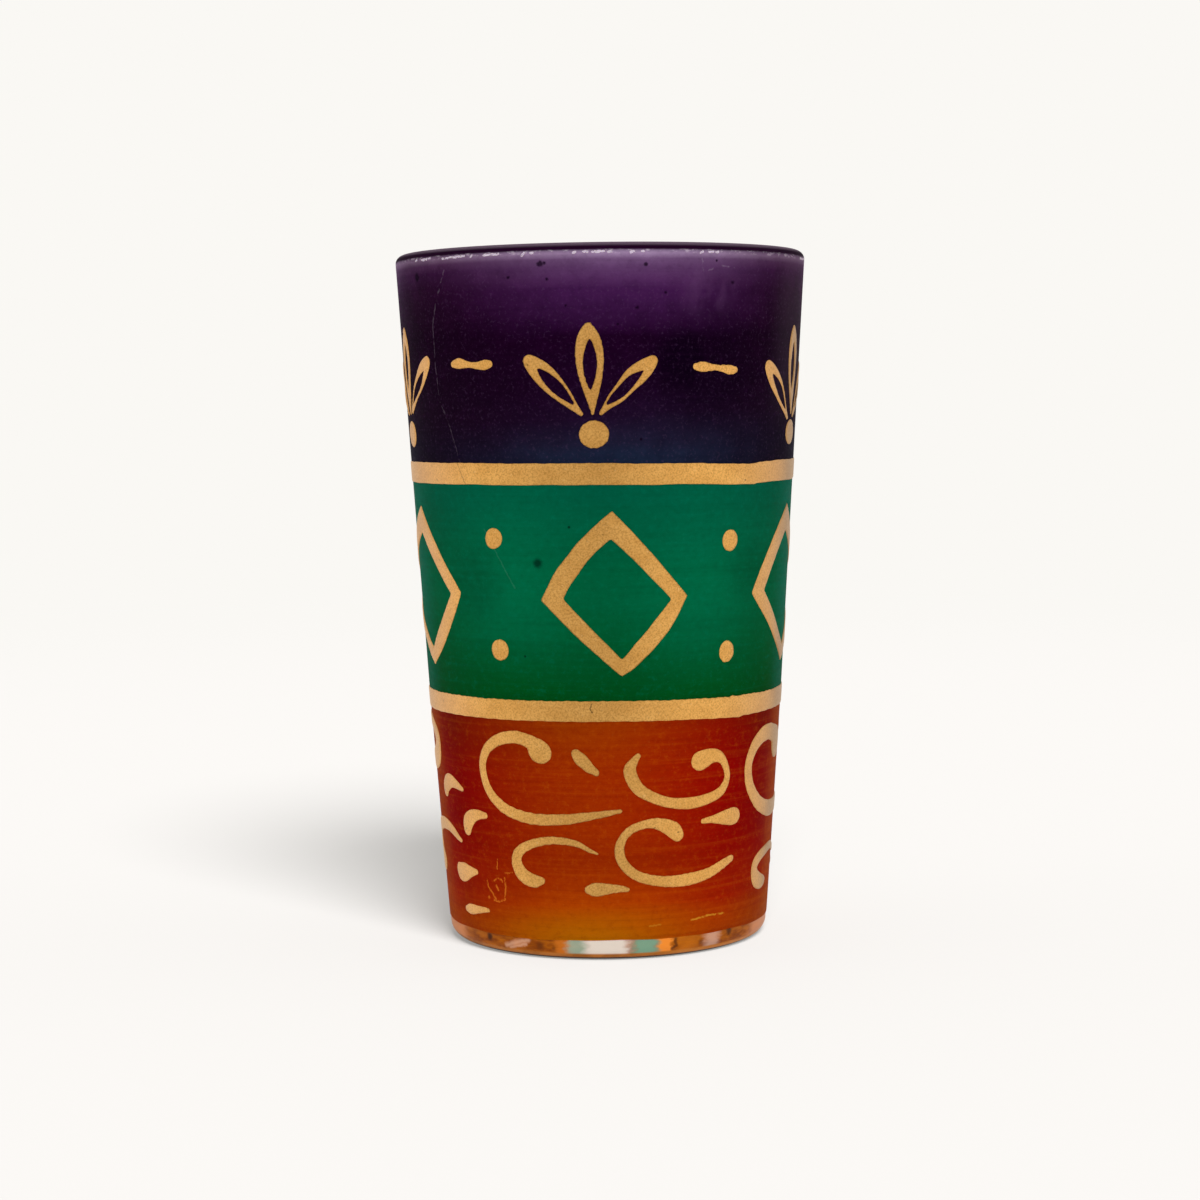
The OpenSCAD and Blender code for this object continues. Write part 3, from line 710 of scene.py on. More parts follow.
def brushed(g, dark, light, seed, strength, mottle):
    """Faint level streaks of the brush and fine mottling, darker and lighter than the coat."""
    wide = g.noise(24, 0.55, 4, 0.6, seed=seed)
    g.lay(g.step(wide, 0.52, 0.3), dark, strength)
    g.lay(g.step(wide, 0.5, 0.72), light, strength * 0.6)
    fine = g.noise(0.9, 0.7, 4, 0.7, seed=seed + 1)
    g.lay(g.step(fine, 0.52, 0.3), dark, mottle)
    g.lay(g.step(fine, 0.5, 0.75), light, mottle)


def grainy(g, seed, low, high, level, colour):
    """The finest grain of a coat."""
    g.lay(g.step(g.noise(0.35, 0.35, 2, 0.6, seed=seed), low, high), colour, level)


def purple_material(inside=False):
    """Nearly black low down and violet towards the rim in a painted glow, lighter at the front in painted
    light, with specks, scratches and painted highlights on the rim.
    """
    g = Graph("purple_lacquer_inside" if inside else "purple_lacquer_satin")
    z = g.math("ADD", g.z, g.times(g.drift(4, 16, 9, 2, 0.5, seed=1), g.step(g.z, 87, 82)))
    # Painted light at the front and painted shade at the sides, coming and going round the glass.
    g.base = g.mix(painted_light_lobes(g, 6, 3, 1.0, 0.4, 5), g.graded(z, PURPLE_PAINTED_SHADE), g.graded(z, PURPLE_PAINTED_LIGHT))
    patch = g.either(g.times(g.spot(23, 75.5, 1.5, 4.5), 0.85), g.times(g.spot(32, 74.5, 2.5, 7), 0.55))
    g.lay(patch, (0.0035, 0.0, 0.006))
    cloud = g.noise(3.2, 2.6, 4, 0.6, seed=14)
    g.lay(g.step(cloud, 0.5, 0.32), g.mix(1.0, g.base, (0.55, 0.45, 0.55), "MULTIPLY"), 0.3)
    g.lay(g.step(cloud, 0.5, 0.68), g.mix(1.0, g.base, (1.5, 1.6, 1.5), "MULTIPLY"), 0.35)
    brushed(g, (0.006, 0.0, 0.008), (0.05, 0.012, 0.06), 2, 0.1, 0.14)
    # Painted sheen on the right flank.
    g.lay(g.times(g.within(g.deg, 52, 66, 78, 92), g.step(g.z, 66, 74)), (0.4, 0.3, 0.38), 0.035)
    # Painted glow high on the right.
    painted_glow = g.times(g.spot(30, 84.5, 1.5, 3.5), g.step(g.noise(2.5, 4, 2, 0.6, seed=15), 0.35, 0.65))
    g.lay(painted_glow, (0.3, 0.14, 0.34), 0.08)
    grainy(g, 8, 0.52, 0.75, 0.09, (0.2, 0.1, 0.25))
    specks = g.either(*[g.spot(*speck) for speck in PURPLE_SPECKS], g.specks(2.4, 0, 0.04, 0.1, 0.84))
    g.lay(specks, (0.006, 0.001, 0.008), 0.85)
    scratch = g.hair([(-46.7, 87.3), (-51.3, 83.3), (-53.5, 80.5), (-53.5, 75.3), (-52.6, 71),
                      (-48.7, 67.9), (-44.9, 63)], 0.03, 0.12)
    marks = g.either(g.hair([(28, 88.1), (28.5, 86.6)], 0.03, 0.12),
                     g.hair([(29.8, 86.6), (34.3, 87.2), (38.5, 87)], 0.03, 0.12))
    broken = g.step(g.noise(0.9, 0.9, 2, 0.6, seed=12), 0.42, 0.58)
    g.lay(g.either(g.times(scratch, 0.12), g.times(marks, 0.2)), (0.4, 0.3, 0.42), broken)

    # The top of the rim: painted shade on its upper face, a paler crest, and painted glints and highlight
    # along its edge
    g.lay(g.step(g.z, 88.95, 89.25), (0.016, 0.002, 0.016))
    g.lay(g.step(g.z, 89.5, 89.95), (0.27, 0.19, 0.27), 0.55)
    glint_lines = g.either(*[g.hair([(a, 88.85 - dip), (b, 88.9)], 0.04, 0.16) for a, b, dip in RIM_GLINTS])
    glint_lines = g.times(glint_lines, g.step(g.noise(0.35, 0.3, 2, 0.6, seed=22), 0.3, 0.55))
    wear_and_glints = g.step(g.noise(1.1, 0.5, 3, 0.7, seed=21), 0.5, 0.66)
    wear_and_glints = g.times(g.times(g.within(g.z, 88.6, 88.85, 89.05, 89.25), wear_and_glints), 0.4)
    g.lay(g.either(glint_lines, wear_and_glints), (0.9, 0.78, 0.92), 0.85)
    return lacquer(g, inside, (3.0, 4.1, 2.28), (0.6, 0.36, 0.75), 1.5, (0.42, 0.62), (6, 0.45, 2), 0.6,
                   (4, 9, 10))


def green_material(inside=False):
    """Green low down and teal above, with brush streaks, painted light at the front and painted sheen on the
    flanks.
    """
    g = Graph("green_lacquer_inside" if inside else "green_lacquer_brushed")
    z = g.math("ADD", g.z, g.drift(4, 18, 7, 2, 0.5, seed=30))
    # Painted light at the front and painted shade at the sides, coming and going round the glass.
    g.base = g.mix(painted_light_lobes(g, 30, 6, 1.0, 0.5, 31), g.graded(z, GREEN_PAINTED_SHADE), g.graded(z, GREEN_PAINTED_LIGHT))
    patch = g.either(g.times(g.spot(-42, 48, 1.5, 5), 0.35), g.times(g.spot(49, 49, 1, 4.5), 0.3))
    g.lay(patch, (0.0, 0.06, 0.022))
    # Painted sheen on both flanks.
    g.lay(g.flanks(62, 76), (0.0, 0.16, 0.11), 0.5)
    brushed(g, (0.0, 0.05, 0.018), (0.0, 0.26, 0.15), 32, 0.14, 0.2)
    grainy(g, 34, 0.55, 0.8, 0.07, (0.05, 0.4, 0.25))
    specks = g.either(g.spot(-19.5, 50.72, 0.25, 0.6), g.times(g.spot(-5.5, 50.5, 0.05, 0.2), 0.6),
                      g.times(g.spot(13.2, 38.9, 0.05, 0.25), 0.6), g.specks(2.8, 4.5, 0.04, 0.09, 0.88))
    g.lay(specks, (0.0, 0.012, 0.008), 0.8)
    g.lay(g.hair([(-37.1, 54.9), (-31.5, 50.7), (-27.3, 47.6)], 0.03, 0.12), (0.15, 0.4, 0.3), 0.1)
    return lacquer(g, inside, (4.0, 2.9, 3.75), (0.3, 0.8, 0.6), 3, (0.42, 0.6), (9, 0.35, 3), 0.7,
                   (36, 37, 38))


def amber_material(inside=False):
    """Red above, amber low down, with a worn patch at the left and two bright streaks at the foot, painted
    light at the front and painted sheen on the flanks.
    """
    g = Graph("amber_lacquer_inside" if inside else "amber_lacquer_brushed")
    z = g.math("ADD", g.z, g.drift(3, 20, 5, 2, 0.5, seed=51))
    shaded_tone, lit_tone = g.graded(z, AMBER_PAINTED_SHADE), g.graded(z, AMBER_PAINTED_LIGHT)
    # Painted light at the front and painted shade at the sides, coming and going round the glass.
    ruddy = g.split(g.mix(painted_light_lobes(g, 2, 3, 0.5, 0.3, 52), shaded_tone, lit_tone))
    tawny = g.split(g.mix(painted_light_lobes(g, -6, 3, 1.3, 0.3, 50), shaded_tone, lit_tone))
    g.base = g.join(ruddy[0], tawny[1], ruddy[2])
    # Painted sheen on both flanks.
    g.lay(g.flanks(64, 76), (0.46, 0.075, 0.0003), 0.6)
    brushed(g, (0.2, 0.0, 0.0), (0.75, 0.15, 0.002), 53, 0.2, 0.2)
    grainy(g, 55, 0.55, 0.8, 0.06, (0.8, 0.35, 0.1))
    wear_and_glints = g.either(*[g.hair(*scratch) for scratch in AMBER_SCRATCHES], g.spot(-45.1, 7.3, 0.06, 0.25))
    flaky = g.step(g.noise(0.5, 0.5, 3, 0.7, seed=58), 0.34, 0.52)
    g.lay(g.times(wear_and_glints, flaky), (0.86, 0.22, 0.02), 0.75)
    bright = g.either(g.hair([(29.5, 4.67), (36.4, 4.98), (44.1, 4.85)], 0.05, 0.14),
                      g.times(g.hair([(14, 4.35), (18, 4.45)], 0.02, 0.15), 0.5))
    g.lay(g.times(bright, flaky), (0.85, 0.38, 0.03), 0.7)
    return lacquer(g, inside, (1.2, 3.7, 4.0), (0.9, 0.5, 0.25), 3, (0.4, 0.58), (9, 0.35, 3), 0.7,
                   (56, 57, 59))


def gold_material():
    """Matte gold paint with grain, flakes and dark specks, paler flanks as a painted highlight and painted
    shade by angle round the glass.
    """
    g = Graph("gold_paint_matte")
    grain = g.noise(0.22, 0.22, 3, 0.65, seed=71)
    flake = g.noise(0.45, 0.45, 2, 0.5, seed=72)
    cloud = g.noise(4, 2, 2, 0.5, seed=73)
    g.base = g.mix(g.step(cloud, 0.3, 0.7), (0.77, 0.395, 0.098), (0.86, 0.462, 0.126))
    g.lay(g.step(grain, 0.4, 0.66), g.mix(0.6, g.base, (0.42, 0.2, 0.04)))
    g.lay(g.step(flake, 0.6, 0.8), g.mix(0.4, g.base, (0.95, 0.66, 0.3)))
    crack = g.hair([(-46, 63.2), (-44.6, 61.8), (-43, 60.3)], 0.02, 0.1)
    dab = g.either(g.hair([(-4.2, 33.05), (-4.8, 32.5), (-4.1, 32)], 0.03, 0.08), g.spot(-4.2, 32, 0.08, 0.1))
    specks = g.specks(1.5, 9.0, 0.05, 0.12, 0.82)
    g.lay(g.either(g.times(specks, 0.7), g.times(crack, 0.5), g.times(dab, 0.75)), (0.13, 0.07, 0.02))
    # Painted highlight: paler gold on both flanks.
    g.lay(g.flanks(35, 65), (0.8, 0.48, 0.28), 0.28)
    # Painted shade: duller, darker gold on the right side.
    g.lay(g.within(g.deg, 60, 74, 90, 110), (0.26, 0.17, 0.09), 0.52)
    # Painted shade by angle round the glass.
    g.lay(g.graded(g.deg, GOLD_PAINTED_SHADE), (0.01, 0.005, 0.001))
    satin = g.remap(grain, 0.3, 0.7, 0.38, 0.54)
    normal = g.bump(g.math("ADD", grain, g.times(flake, 0.6)), 0.03, 0.7)
    return g.surface(g.principled(Base_Color=g.base, Metallic=0.95, Roughness=satin, Normal=normal))


glass = glass_material()
purple = (purple_material(), purple_material(inside=True))
green = (green_material(), green_material(inside=True))
amber = (amber_material(), amber_material(inside=True))
gold = gold_material()


# The pressed glass

def glass_profile():
    """Section from the middle of the hollow underside round to the middle of the inside floor."""
    ball = (DISH_R ** 2 + DISH_H ** 2) / (2 * DISH_H)
    hollow = [(r, DISH_H - ball + math.sqrt(ball ** 2 - r ** 2)) for r in np.linspace(0, DISH_R - 0.5, 14)]
    inner_x = BELT_R - LOW_WALL
    reach = math.hypot(LIP_X - inner_x, LIP_Z - BELT_Z)
    slope = math.acos(LIP_R / reach) - math.atan2(LIP_Z - BELT_Z, LIP_X - inner_x)
    cavity_z = FLOOR_Z + CAVITY_R
    cavity_x = float(glass_at(cavity_z)) - LOW_WALL - CAVITY_R / math.cos(LOW_SLOPE)
    low, high, inside = math.degrees(LOW_SLOPE), math.degrees(HIGH_SLOPE), math.degrees(slope)
    foot = arc(FOOT_X, FOOT_ROUND, FOOT_ROUND, -90, -low, 14)
    lip = arc(LIP_X, LIP_Z, LIP_R, -high, 180 - inside, 22)
    cavity = arc(cavity_x, cavity_z, CAVITY_R, -low, -90, 16)
    return (hollow + [(DISH_R - 0.2, 0.012), (DISH_R + 0.1, 0.0)]
            + line((DISH_R + 0.5, 0), foot[0], 4) + foot
            + line(foot[-1], (BELT_R, BELT_Z), 12)[1:] + line((BELT_R, BELT_Z), lip[0], 16)
            + lip + line(lip[-1], (inner_x, BELT_Z), 16)[1:] + line((inner_x, BELT_Z), cavity[0], 10)
            + cavity + [(r, FLOOR_Z) for r in np.linspace(cavity_x - 1, 0, 8)])


def coat_profile(low, high, steps):
    """Closed section of a coat on the wall, with a soft lower edge."""
    zs = np.linspace(low, high, steps)
    outer = [(float(coated_at(z)), z) for z in zs]
    outer[0] = (float(glass_at(low)) + 0.03, low)
    outer.insert(1, (float(glass_at(low + 0.05)) + 0.085, low + 0.05))
    inner = [(float(glass_at(z)) - SUNK, z) for z in zs[::-1]]
    return outer + inner


def hand_edge(low, z_top, size):
    """Moves a coat's lower edge up and down with the angle, as a brush leaves it."""
    def bend(section, turn):
        a = math.radians(turn)
        wave = size * (0.5 * math.sin(3 * a + 1) + 0.3 * math.sin(7 * a + 2) + 0.2 * math.sin(17 * a))
        out = section.copy()
        share = np.clip((z_top - section[:, 1]) / (z_top - low), 0, 1) ** 3
        out[:, 1] += wave * share
        out[:, 0] += wave * share * math.tan(LOW_SLOPE)
        return out
    return bend


def purple_profile():
    """Closed section up the wall and over the outer half of the lip."""
    high = math.degrees(HIGH_SLOPE)
    coated_lip = LIP_R + COAT * math.cos(HIGH_SLOPE)
    top = arc(LIP_X, LIP_Z, coated_lip, -high, 86, 14)
    under = arc(LIP_X, LIP_Z, LIP_R - SUNK, 90, -high, 14)
    foot = (float(coated_at(COLLAR_Z)), COLLAR_Z)
    inner = (float(glass_at(COLLAR_Z)) - SUNK, COLLAR_Z)
    crest = [(LIP_X, LIP_Z + LIP_R + 0.03)]
    return line(foot, top[0], 20) + top + crest + under + line(under[-1], inner, 20)[1:] + [inner]


add_piece("glass_tumbler", lathe_solid(glass_profile(), WALL_STEPS), glass, "clear_glass", "glass_body")
add_piece("purple_lacquer_coat", lathe_closed(purple_profile(), WALL_STEPS), purple, "purple_lacquer",
          "purple_coat")
add_piece("green_lacquer_coat", lathe_closed(coat_profile(BELT_Z, COLLAR_Z, 16), WALL_STEPS), green,
          "green_lacquer", "green_coat")
amber_shape = lathe_closed(coat_profile(AMBER_Z, BELT_Z, 20), WALL_STEPS, hand_edge(AMBER_Z, 9.0, 0.16))
add_piece("amber_lacquer_coat", amber_shape, amber, "amber_lacquer", "amber_coat")


# The gold bands, whose edges wander round the glass

def edge_of(stops, seed):
    """Height of a band's edge at an angle, through stops, with a slight roughness."""
    angles = np.array([a for a, _ in stops])
    heights = np.array([h for _, h in stops])
    rng = np.random.default_rng(seed)
    waves = [(k, rng.normal(0, 0.009), rng.uniform(0, 6.28)) for k in (11, 17, 29, 43, 67, 97, 131)]

    def height(deg):
        deg = (deg + 180) % 360 - 180
        base = np.interp(deg, angles, heights, period=360)
        return base + sum(s * math.sin(k * math.radians(deg) + p) for k, s, p in waves)

    return height


def band_mesh(low_stops, high_stops, seed):
    """A closed ring of paint between two wandering edges."""
    low, high = edge_of(low_stops, seed), edge_of(high_stops, seed + 1)
    near_edge = np.array([0, 0.015, 0.05, 0.1, 0.16])
    shares = np.concatenate([near_edge, np.linspace(0.24, 0.76, 6), 1 - near_edge[::-1]])

    def bend(section, deg):
        a, b = low(deg), high(deg)
        z = a + (b - a) * section[:, 0]
        edge = np.minimum(section[:, 0], 1 - section[:, 0]) * (b - a)
        lift = np.where(section[:, 1] > 0, EDGE_LIFT + RISE * crowned(edge / BAND_RIDGE), -SUNK)
        return np.stack([coated_at(z) + lift, z], 1)

    section = [(s, 1) for s in shares] + [(s, 0) for s in shares[::-1]]
    return lathe_closed(section, BAND_STEPS, bend)


UPPER_LOW = [
    (-180, 60.45), (-90, 60.5), (-50, 60.48), (0, 60.4), (30, 60.25), (45, 60.03), (49.5, 59.98),
    (51, 60.12), (60, 60.22), (90, 60.32), (140, 60.4)
]
UPPER_HIGH = [
    (-180, 63.15), (-90, 63.2), (-50, 63.2), (0, 63.1), (30, 62.85), (46, 62.62), (49, 62.66), (52, 62.78),
    (62, 62.92), (90, 63.0), (140, 63.1)
]
LOWER_LOW = [
    (-180, 30.7), (-90, 30.7), (-50, 30.75), (0, 30.8), (30, 30.6), (44, 30.32), (47, 30.26), (49, 30.4),
    (60, 30.48), (90, 30.55), (140, 30.65)
]
LOWER_HIGH = [
    (-180, 33.35), (-90, 33.3), (-50, 33.35), (0, 33.42), (30, 33.22), (42, 33.08), (43.5, 33.22),
    (46, 33.05), (50, 33.12), (60, 33.05), (90, 33.15), (140, 33.3)
]
upper_band = band_mesh(UPPER_LOW, UPPER_HIGH, 201)
add_piece("upper_gold_band_paint", upper_band, gold, "gold_paint", "upper_gold_band")
lower_band = band_mesh(LOWER_LOW, LOWER_HIGH, 211)
add_piece("lower_gold_band_paint", lower_band, gold, "gold_paint", "lower_gold_band")


# Palmettes: seeds, petals and the dashes between them. x counts round the glass from the middle.
# Each copy has an angle, a lift in millimetres and a tilt in degrees.
PALMETTES = (-74.5, -2.5, 72, 143, 213.5)
DASHES = (-38.8, 33.1, 107.5, 178, 249.5)
PURPLE_REF = 72.0
UPRIGHT_SPINE = [
    (0.0, 69.15, 0.3), (-0.06, 70.5, 1.1), (-0.13, 72, 1.95), (-0.2, 73.7, 2.8), (-0.26, 75.3, 3.32),
    (-0.3, 76.6, 3.42), (-0.34, 77.9, 3.05), (-0.38, 79, 2.1), (-0.4, 79.85, 1.05)
]
LEFT_SPINE = [
    (-1.5, 69.2, 0.5), (-2.3, 70.05, 1.0), (-3.4, 71.25, 1.8), (-4.6, 72.5, 2.45), (-5.8, 73.75, 2.7),
    (-6.8, 74.75, 2.42), (-7.5, 75.4, 1.95), (-7.9, 75.8, 1.5)
]
RIGHT_SPINE = [
    (1.05, 69.2, 0.5), (1.85, 70.05, 1.0), (2.95, 71.25, 1.75), (4.1, 72.45, 2.32), (5.25, 73.6, 2.52),
    (6.3, 74.6, 2.27), (7.0, 75.2, 1.85), (7.45, 75.55, 1.45)
]
DASH = [
    (-3.0, 75.6, 0.85), (-2.0, 75.6, 1.26), (-0.9, 75.5, 0.95), (0.2, 75.43, 0.72), (1.3, 75.42, 0.95),
    (2.3, 75.42, 1.16), (3.1, 75.4, 0.8)
]


def moved(shape, up, tilt):
    """The shape turned about the middle of its height, and raised."""
    f, box = shape
    a = math.radians(tilt)
    back = np.array([[math.cos(a), math.sin(a)], [-math.sin(a), math.cos(a)]])
    middle = np.array([0, (box[2] + box[3]) / 2])
    reach = 0.1 + 4 * abs(math.sin(a))
    return (lambda p: f((p - middle - [0, up]) @ back.T + middle)), (
        box[0] - reach, box[1] + reach, box[2] + up - reach, box[3] + up + reach)


def copies(node, label, shape, angles, lifts, z_ref, step, hand, seed, tilts=(0, 0, 0, 0, 0)):
    """One piece of gold for a node: the drawing, or a list of one for each angle, each by hand."""
    parts = []
    for n, (place, up, tilt) in enumerate(zip(angles, lifts, tilts)):
        drawing = shape[n] if isinstance(shape, list) else shape
        own = shaky(moved(drawing, up, tilt), seed + 10 * n, hand, 0.018)
        parts.append(relief(own, place, z_ref, step, seed + n))
    add_piece(label, joined(parts), gold, "gold_paint", node)


def petal(spine, slot_foot, slot_tip, slot_width):
    """A petal along a spine of (x, z, width), with a leaf-shaped opening."""
    return cut_by(brush(spine), polygon_field(leaf(slot_foot, slot_tip, slot_width, 0.52, 0.85)))


def oval(width, height, x, z):
    """A flat dab round a middle."""
    turns = np.linspace(0, 2 * math.pi, 40, endpoint=False)
    return polygon_field(np.stack([x + width / 2 * np.cos(turns), z + height / 2 * np.sin(turns)], 1))


copies("palmette_seeds", "palmette_seed_dabs", oval(3.78, 3.3, 0.05, 66.66),
       PALMETTES, (0.15, 0, -0.2, 0, 0), PURPLE_REF, 0.2, 0.06, 301)
copies("palmette_centre_petals", "palmette_upright_petals",
       petal(UPRIGHT_SPINE, (-0.3, 72.0), (-0.2, 78.4), 1.66),
       PALMETTES, (0.2, 0, -0.2, 0.1, -0.1), PURPLE_REF, 0.2, 0.05, 311)
copies("palmette_left_petals", "palmette_left_leaning_petals",
       petal(LEFT_SPINE, (-2.2, 70.2), (-6.9, 74.9), 1.45),
       PALMETTES, (0.3, 0, -0.9, 0, -0.1), PURPLE_REF, 0.2, 0.05, 321)
copies("palmette_right_petals", "palmette_right_leaning_petals",
       petal(RIGHT_SPINE, (1.65, 70.15), (6.4, 74.5), 1.38),
       PALMETTES, (0.45, 0, -0.5, 0.1, 0), PURPLE_REF, 0.2, 0.05, 331)
copies("gold_dashes", "gold_dash_strokes", brush(DASH),
       DASHES, (0, -0.85, 0, -0.2, 0.1), PURPLE_REF, 0.16, 0.08, 341, (0, -1.2, 1, 0, 0))


# Diamonds with their open middles, and the dots between them
GREEN_REF = 46.8
DIAMONDS = (-70.6, 3.2, 74.3, 144.5, 217)
DOTS = (-33.8, 40, 108.5, 180.5, 253)
DOT_LIFTS = (0.35, -0.35, 0, 0.2, -0.1)


def diamond(left=-9.35, right=9.3, left_rim=2.85, right_rim=2.1):
    """A diamond's frame between its corners' x, with the widths of the rim at those corners."""
    outer = bowed([(left, 46.05), (-0.25, 57.1), (right, 46.3), (0.75, 36.5)], [0.85, 0.05, 0.95, 0.15])
    inner = bowed([(left + left_rim, 46.3), (-0.5, 53.7), (right - right_rim, 46.0), (0.75, 38.65)],
                  [0.5, 0.08, 0.1, 0.1])
    return cut_by(rounded(polygon_field(outer), 0.08), polygon_field(inner))


copies("diamond_frames", "diamond_frame_strokes",
       [diamond(left=-11.8, left_rim=1.3), diamond(), diamond(left=-9.9, right=11.6, right_rim=1.3),
        diamond(), diamond()],
       DIAMONDS, (0.4, 0, 0.05, 0.1, 0), GREEN_REF, 0.24, 0.035, 351, (0, 0, 0, 1, -1))
copies("upper_gold_dots", "upper_dot_dabs", oval(2.56, 2.76, 0.0, 53.4),
       DOTS, DOT_LIFTS, GREEN_REF, 0.18, 0.06, 361)
copies("lower_gold_dots", "lower_dot_dabs", oval(2.5, 2.68, 0.06, 39.3),
       DOTS, DOT_LIFTS, GREEN_REF, 0.18, 0.06, 371)


# Strokes of the amber field. A point is (angle, height, width), and a place adds (turn, lift) to it.
AMBER_REF = 16.7
DEG = math.pi / 180 * float(coated_at(AMBER_REF))

LARGE_C = [
    (-21.0, 26.75, 2.85), (-21.5, 26.95, 2.95), (-23.3, 27.75, 2.1), (-25.7, 28.25, 1.75),
    (-30, 28.6, 1.65), (-35.5, 28.2, 1.55), (-40.5, 27.1, 1.35), (-43.2, 25.5, 1.2), (-43.7, 23.9, 1.15),
    (-42.3, 21.9, 1.2), (-38.5, 20.1, 1.35), (-33, 18.85, 1.45), (-24, 18.2, 1.5), (-14, 18.3, 1.4),
    (-5, 18.75, 1.05), (4.2, 19.4, 0.55)
]
HOOK = [
    (-22.4, 10.25, 0.8), (-23.7, 10.15, 1.35), (-26.2, 10.2, 1.8), (-29.8, 10.95, 1.9), (-31.7, 12.3, 1.55),
    (-31, 13.6, 1.35), (-27.5, 14.65, 1.2), (-23, 15.25, 1.1), (-18, 15.55, 1.0), (-13, 15.45, 0.9),
    (-9, 15.0, 0.75), (-5.5, 14.3, 0.5), (-3.4, 13.95, 0.35)
]
U_SCROLL = [
    (10.0, 26.35, 0.7), (8.7, 25.7, 1.0), (7.3, 24.4, 1.6), (9.5, 22.4, 1.6), (13.5, 21.2, 1.45),
    (20, 20.2, 1.4), (28, 19.9, 1.5), (35, 20.25, 1.35), (40, 21.0, 1.25), (42.4, 22.4, 1.0),
    (42.2, 23.6, 1.0), (40.5, 24.9, 1.15), (38, 25.6, 1.6), (35, 25.65, 2.05), (32.4, 25.35, 2.5),
    (31.2, 25.2, 2.6)
]
SMALL_C = [
    (23.3, 15.95, 1.75), (21.9, 16.6, 2.1), (19.5, 17.15, 1.85), (16, 17.6, 1.45), (12.5, 17.6, 1.15),
    (8, 17.05, 1.1), (5, 15.9, 1.1), (3.9, 14.4, 1.25), (4.8, 12.8, 1.3), (8, 11.4, 1.3), (13, 10.5, 1.35),
    (20, 10.0, 1.45), (28, 10.05, 1.6), (36, 10.55, 1.4), (42, 11.4, 1.25), (46, 11.95, 0.95)
]
SLANTED_DROP = [
    (-9.6, 26.75, 1.2), (-8, 25.95, 1.65), (-5.5, 24.9, 1.3), (-4.1, 24.5, 1.0), (-3.3, 24.25, 0.85)
]
SIDE_DROP = [
    (33.0, 17.42, 0.68), (36.5, 17.5, 0.95), (41, 17.5, 1.65), (45.3, 17.5, 2.3), (46.8, 17.47, 2.2)
]
LOWER_DROP = [(-6.6, 9.25, 1.05), (-3.9, 9.3, 1.8), (1, 9.4, 1.25), (4.5, 9.35, 0.9), (6.5, 9.22, 0.6)]
UPPER_CRESCENT = [
    (-68.4, 20.1, 1.4), (-68.0, 20.8, 1.95), (-66.3, 21.4, 2.15), (-63.5, 21.7, 1.75), (-60, 21.5, 1.25),
    (-55.9, 20.95, 0.65)
]
LOWER_CRESCENT = [
    (-54.2, 15.75, 1.55), (-54.0, 16.35, 1.95), (-53.0, 17.05, 2.15), (-50.9, 17.6, 1.8),
    (-47.8, 17.95, 1.3), (-44, 18.05, 0.8)
]
COLUMN_DROP = [
    (-61.9, 10.3, 1.5), (-60.6, 9.85, 2.45), (-58.2, 9.95, 2.45), (-55, 10.15, 1.6), (-50.8, 10.35, 0.7)
]
BASE_DROP = [
    (-58.8, 5.05, 0.8), (-55.9, 5.15, 1.4), (-51.4, 5.3, 1.05), (-48.8, 5.42, 0.85), (-45.8, 5.52, 0.5)
]


def turned(points, lift, fat, tall, mirrored):
    """The stroke's points in the flat drawing round its own middle."""
    middle, height = (np.max(points, 0) + np.min(points, 0))[:2] / 2
    flip = -1 if mirrored else 1
    return middle, [(flip * (x - middle) * DEG, height + (z - height) * tall + lift, w * fat)
                    for x, z, w in points]


def strokes(node, label, points, seed, places=((0, 0),), mirrored=False):
    """One piece of gold for a node: the stroke at each (turn, lift), a few fatter and less tall."""
    parts = []
    for n, place in enumerate(places):
        turn, lift, fat, tall = (*place, 1, 1)[:4]
        middle, path = turned(points, lift, fat, tall, mirrored)
        hand = 0.03 if turn == 0 else 0.14
        own = shaky(brush(path), seed + 10 * n, hand, 0.016)
        parts.append(relief(own, middle + turn, AMBER_REF, 0.2, seed + n))
    add_piece(label, joined(parts), gold, "gold_paint", node)


strokes("large_c_scrolls", "large_c_brush_strokes", LARGE_C, 401, [(0, 0), (97.2, -1.0, 1.4), (195.1, 0)])
strokes("hook_scrolls", "hook_brush_strokes", HOOK, 421,
        [(0, 0), (-56.5, 0, 1.6), (92.8, -3.15, 1.2, 0.8), (194.3, 0)])
strokes("curl_scroll", "curl_brush_stroke", HOOK, 441, [(-70.6, 13.75, 1.6)], mirrored=True)
strokes("u_scrolls", "u_brush_strokes", U_SCROLL, 451, [(0, 0), (98.7, 0.3), (197.7, 0)])
strokes("small_c_scrolls", "small_c_brush_strokes", SMALL_C, 461, [(0, 0), (98.7, 0), (197.7, 0.3)])
strokes("slanted_teardrops", "slanted_drop_dabs", SLANTED_DROP, 471, [(0, 0), (101, 0.6), (200, 0)])
strokes("side_teardrops", "side_drop_dabs", SIDE_DROP, 481, [(0, 0), (98.8, 0), (197.8, 0)])
strokes("lower_teardrops", "lower_drop_dabs", LOWER_DROP, 491, [(0, 0), (96.4, 0), (195.4, 0)])
strokes("upper_crescent", "upper_crescent_dab", UPPER_CRESCENT, 501)
strokes("lower_crescent", "lower_crescent_dab", LOWER_CRESCENT, 511)
strokes("column_teardrop", "column_drop_dab", COLUMN_DROP, 521)
strokes("base_teardrop", "base_drop_dab", BASE_DROP, 531)


# Floor, backdrop and light. The pale floor runs into a world of the same colour.
PAPER = (0.956, 0.939, 0.905)
FLOOR_TINT = (0.2463, 0.2406, 0.2362)
# Share of the floor that shows plain paper near the glass, and where it is all of it, in metres
PLAIN_SHARE = 0.32
PLAIN_FROM = 0.25
PLAIN_TO = 0.6
FLOOR_SIZE = 12
FLOOR_Z_M = -0.00002


